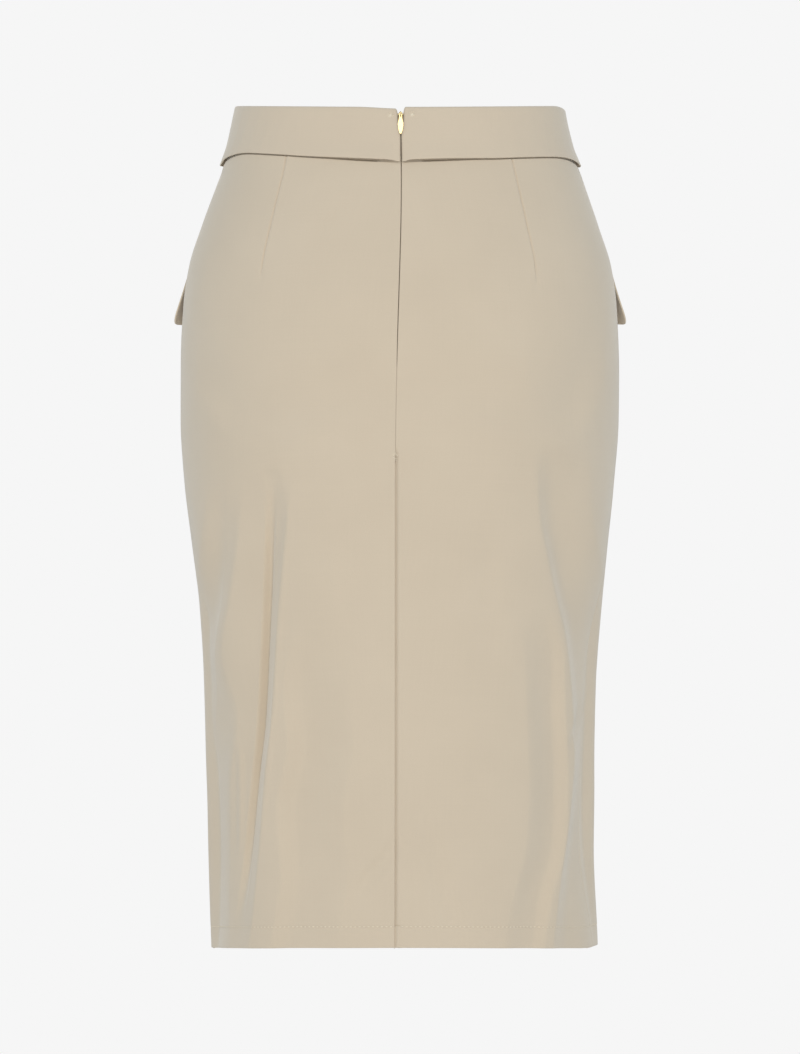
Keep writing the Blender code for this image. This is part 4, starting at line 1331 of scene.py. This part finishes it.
# The eye goes round the crown's bar
eye = cube("eye", (-0.58, -1.0, -3.6), (0.58, 1.0, 0.0))
rounded(eye, 0.5, 4)
hole = pull.modifiers.new("Eye", "BOOLEAN")
hole.operation, hole.solver, hole.object = "DIFFERENCE", "EXACT", eye
applied(pull, hole)
bpy.data.objects.remove(eye)
rounded(pull, 0.2, 2, limit_method="ANGLE", angle_limit=math.radians(50))
into_zip(coloured(pull, gold))
print("pull faces:", len(pull.data.polygons))

# %% [markdown]
# ## Stitches
# The hem is held by a row of small stitches, the vent's top by a bartack, and the band by a
# small star of thread on each side of the zip. Painted dashes would stay flat under any
# light, so each stitch is a real bead of thread, shaped once from a small sphere and copied.

# %% One stitch, and its place


def stitch_model(length, thickness):
    """A bead of thread along X, a little flattened."""
    nothing_selected()
    bpy.ops.mesh.primitive_uv_sphere_add(segments=8, ring_count=6, radius=0.5 * MM)
    bead = bpy.context.active_object
    bpy.ops.object.mode_set(mode="EDIT")
    bpy.ops.transform.resize(value=(length, thickness, thickness * 0.8))
    bpy.ops.object.mode_set(mode="OBJECT")
    bead.data.uv_layers[0].name = "Cloth"
    return bead


def thread_place(point, out, round_it, slope=0.0):
    """The place of a thread that runs round the skirt, or slopes down by some degrees."""
    tilt = math.radians(slope)
    along = Vector(round_it).normalized() * math.cos(tilt) + Vector((0, 0, -1)) * math.sin(tilt)
    return frame_at(Vector(point) * MM, along, Vector(out))


def on_skin(turn, drop, out, slope=0.0):
    """The place of a thread on the outer face of the cloth, or a little out from it."""
    round_it = skin(turn + 0.2, drop, out) - skin(turn - 0.2, drop, out)
    return thread_place(skin(turn, drop, out), outward(turn, drop), round_it, slope)


# %% Stitches of the hem
STITCH_PITCH, STITCH_SUNK = 3.4, 0.12
hem_drop = LENGTH - HEM_STITCH
hem_centre, hem_scale = centre_turn(hem_drop), back_per_degree(hem_drop)
hem_places = []
for panel in ("back_left", "back_right", "front"):
    start, end = edges(panel, hem_drop, SLIT_HALF(hem_drop))
    fine = np.linspace(start, end, 400)
    ring = skin(fine, np.full_like(fine, hem_drop))
    length = np.concatenate([[0], np.cumsum(np.linalg.norm(np.diff(ring, axis=0), axis=1))])
    for s in np.arange(2.0, length[-1] - 1.5, STITCH_PITCH):
        turn = np.interp(s, length, fine)
        sunk = STITCH_SUNK
        if panel == "back_right":
            sunk += LAP_DROP * (1 - ease((turn - hem_centre) * hem_scale / LAP_RAMP))
        hem_places.append(on_skin(turn, hem_drop, -sunk))
hem_stitches = join_copies("hem_stitches", stitch_model(1.9, 0.72), hem_places, thread)

# %% Bartack at the vent's top
BARTACK_COLUMNS = ("aside", "drop", "slope")
BARTACK = (
    (-1.6, 270.6, 70),
    (-0.9, 270.0, 80),
    (0.0, 269.8, 92),
    (0.9, 270.2, 104),
    (1.6, 270.9, 118),
    (-0.8, 273.0, 20),
    (0.5, 273.4, -15),
    (0.0, 274.6, 5),
)
tack_places = []
for row in BARTACK:
    b = dict(zip(BARTACK_COLUMNS, row))
    turn = centre_turn(b["drop"]) + b["aside"] / back_per_degree(b["drop"])
    tack_places.append(on_skin(turn, b["drop"], 0.1, b["slope"]))
bartack = join_copies("vent_bartack", stitch_model(2.6, 0.4), tack_places, thread)

# %% Stars beside the zip
STAR_SLOPES = (4, 36, 82, 118, 148)
STARS = ((-7.7, 7.1), (8.7, 6.4))  # sideways, and below the top, in millimetres
star_places = []
for aside, drop in STARS:
    turn = centre_turn(drop) + aside / back_per_degree(drop)
    point = body(turn, drop) + outward(turn, drop) * (BAND_OUTSIDE + 0.1)
    round_it = body(turn + 0.3, drop) - body(turn - 0.3, drop)
    for slope in STAR_SLOPES:
        star_places.append(thread_place(point, outward(turn, drop), round_it, slope))
band_tacks = join_copies("band_tacks", stitch_model(6.2, 0.46), star_places, thread)

# %% [markdown]
# ## What each piece stands for
# Every piece moves with a body of the imported model: all cloth with the skirt, and the pull
# with its own body, which swings on the crown. Each sheet's row also lists its finish, the size
# that it was cut to with its turnings, and its area, but the script doesn't use these.

# %% Bodies, replaced solids and flat sizes
CUTS = (
    (front_panel, "front_panel", "skirt_cloth", (0.478, 0.641), 0.2930),
    (back_left, "back_panel_left", "skirt_cloth", (0.274, 0.645), 0.1565),
    (back_right, "back_panel_right", "skirt_cloth", (0.285, 0.643), 0.1560),
    (bands["front"], "waistband_front", "waistband_cloth", (0.383, 0.104), 0.0346),
    (bands["back_left"], "waistband_back_left", "waistband_cloth", (0.194, 0.104), 0.0158),
    (bands["back_right"], "waistband_back_right", "waistband_cloth", (0.191, 0.100), 0.0161),
    (flaps["left"], "pocket_flap_left", "skirt_cloth", (0.150, 0.050), 0.0065),
    (flaps["right"], "pocket_flap_right", "skirt_cloth", (0.151, 0.050), 0.0065),
    (tapes["left"], "zip_tape_left", "zip_tape", (0.0128, 0.202), None),
    (tapes["right"], "zip_tape_right", "zip_tape", (0.0128, 0.202), None),
)
for piece, solid, finish, flat, area in CUTS:
    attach(piece, "skirt")
    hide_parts(solid)
for piece, finish in (
    (coils["left"], "zip_tape"),
    (coils["right"], "zip_tape"),
    (hem_stitches, "skirt_cloth"),
    (bartack, "skirt_cloth"),
    (band_tacks, "waistband_cloth"),
    (slider, "zip_metal"),
):
    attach(piece, "skirt")
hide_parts("zip_slider")
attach(pull, "zip_pull")
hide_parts("zip_pull")

# %% [markdown]
# ## Floor, light and camera
# The skirt hangs at the height at which it would be worn, over a plain pale floor. On the
# camera's side one large soft light stands high and another low. Weaker ones stand to the left
# and right, one more lights the front of the skirt, and the pale room fills the rest. The
# camera is level with the middle of the skirt and far away, as for a catalogue picture.

# %% Floor
FLOOR_HEIGHT = -1.05
nothing_selected()
bpy.ops.mesh.primitive_circle_add(
    vertices=96, radius=3.0, fill_type="NGON", location=(0, 0, FLOOR_HEIGHT)
)
floor = bpy.context.active_object
floor.name = "floor"
floor_paint = bpy.data.materials.new("Pale floor")
floor_paint.use_nodes = True
floor_shader = floor_paint.node_tree.nodes["Principled BSDF"]
floor_shader.inputs["Base Color"].default_value = (0.87, 0.85, 0.83, 1)
floor_shader.inputs["Roughness"].default_value = 0.9
floor.data.materials.append(floor_paint)

# %% Lights


def soft_light(name, place, target, size, watts):
    """A square area light that faces a target."""
    data = bpy.data.lights.new(name, "AREA")
    data.shape = "SQUARE"
    data.size = size
    data.energy = watts
    light = bpy.data.objects.new(name, data)
    light.location = place
    light.rotation_euler = (Vector(target) - Vector(place)).to_track_quat("-Z", "Y").to_euler()
    bpy.context.scene.collection.objects.link(light)
    return light


AIM = (0, 0, -0.33)
LIGHT_COLUMNS = ("name", "azimuth", "away", "height", "size", "watts", "colour")
LIGHTS = (
    ("High light", 0, 3.6, 1.3, 1.2, 46, (1.00, 0.88, 0.75)),
    ("Low light", 0, 3.6, -0.6, 1.0, 22, (1.00, 0.88, 0.75)),
    ("Left light", -100, 3.4, 0.3, 1.4, 9, (0.94, 0.98, 1.00)),
    ("Right light", 100, 3.4, 0.3, 1.4, 9, (0.94, 0.98, 1.00)),
    ("Far light", 180, 3.6, 1.1, 1.2, 46, (1.00, 0.92, 0.82)),
)
for row in LIGHTS:
    r = dict(zip(LIGHT_COLUMNS, row))
    turned = math.radians(r["azimuth"])
    place = (r["away"] * math.sin(turned), -r["away"] * math.cos(turned), r["height"])
    light = soft_light(r["name"], place, AIM, r["size"], r["watts"])
    light.data.color = r["colour"]
    light.visible_camera = False
print("lights:", len(LIGHTS))

# %% Room and camera
world = bpy.data.worlds.new("Pale studio")
world.use_nodes = True
bpy.context.scene.world = world
tree = world.node_tree
background = tree.nodes["Background"]
background.inputs["Color"].default_value = (0.84, 0.93, 1.0, 1)
background.inputs["Strength"].default_value = 0.645
# The camera sees a plain grey white behind the skirt, whatever lights the room
seen = node(tree, "ShaderNodeBackground", {"Color": (0.9216, 0.9216, 0.9216, 1)})
path = node(tree, "ShaderNodeLightPath")
choice = {"Fac": path.outputs["Is Camera Ray"], 1: background.outputs[0], 2: seen.outputs[0]}
mix = node(tree, "ShaderNodeMixShader", choice)
tree.links.new(mix.outputs[0], tree.nodes["World Output"].inputs["Surface"])

CAMERA_AWAY, CAMERA_HEIGHT, FRAME_HEIGHT = 5.0, -0.3256, 0.8156
camera = bpy.data.objects.new("Camera", bpy.data.cameras.new("Camera"))
bpy.context.scene.collection.objects.link(camera)
camera.location = (0, -CAMERA_AWAY, CAMERA_HEIGHT)
camera.rotation_euler = (math.pi / 2, 0, 0)
camera.data.lens = camera.data.sensor_width * CAMERA_AWAY / FRAME_HEIGHT
bpy.context.scene.camera = camera
bpy.context.scene.view_settings.view_transform = "Standard"
print("lens, mm:", round(camera.data.lens, 1))
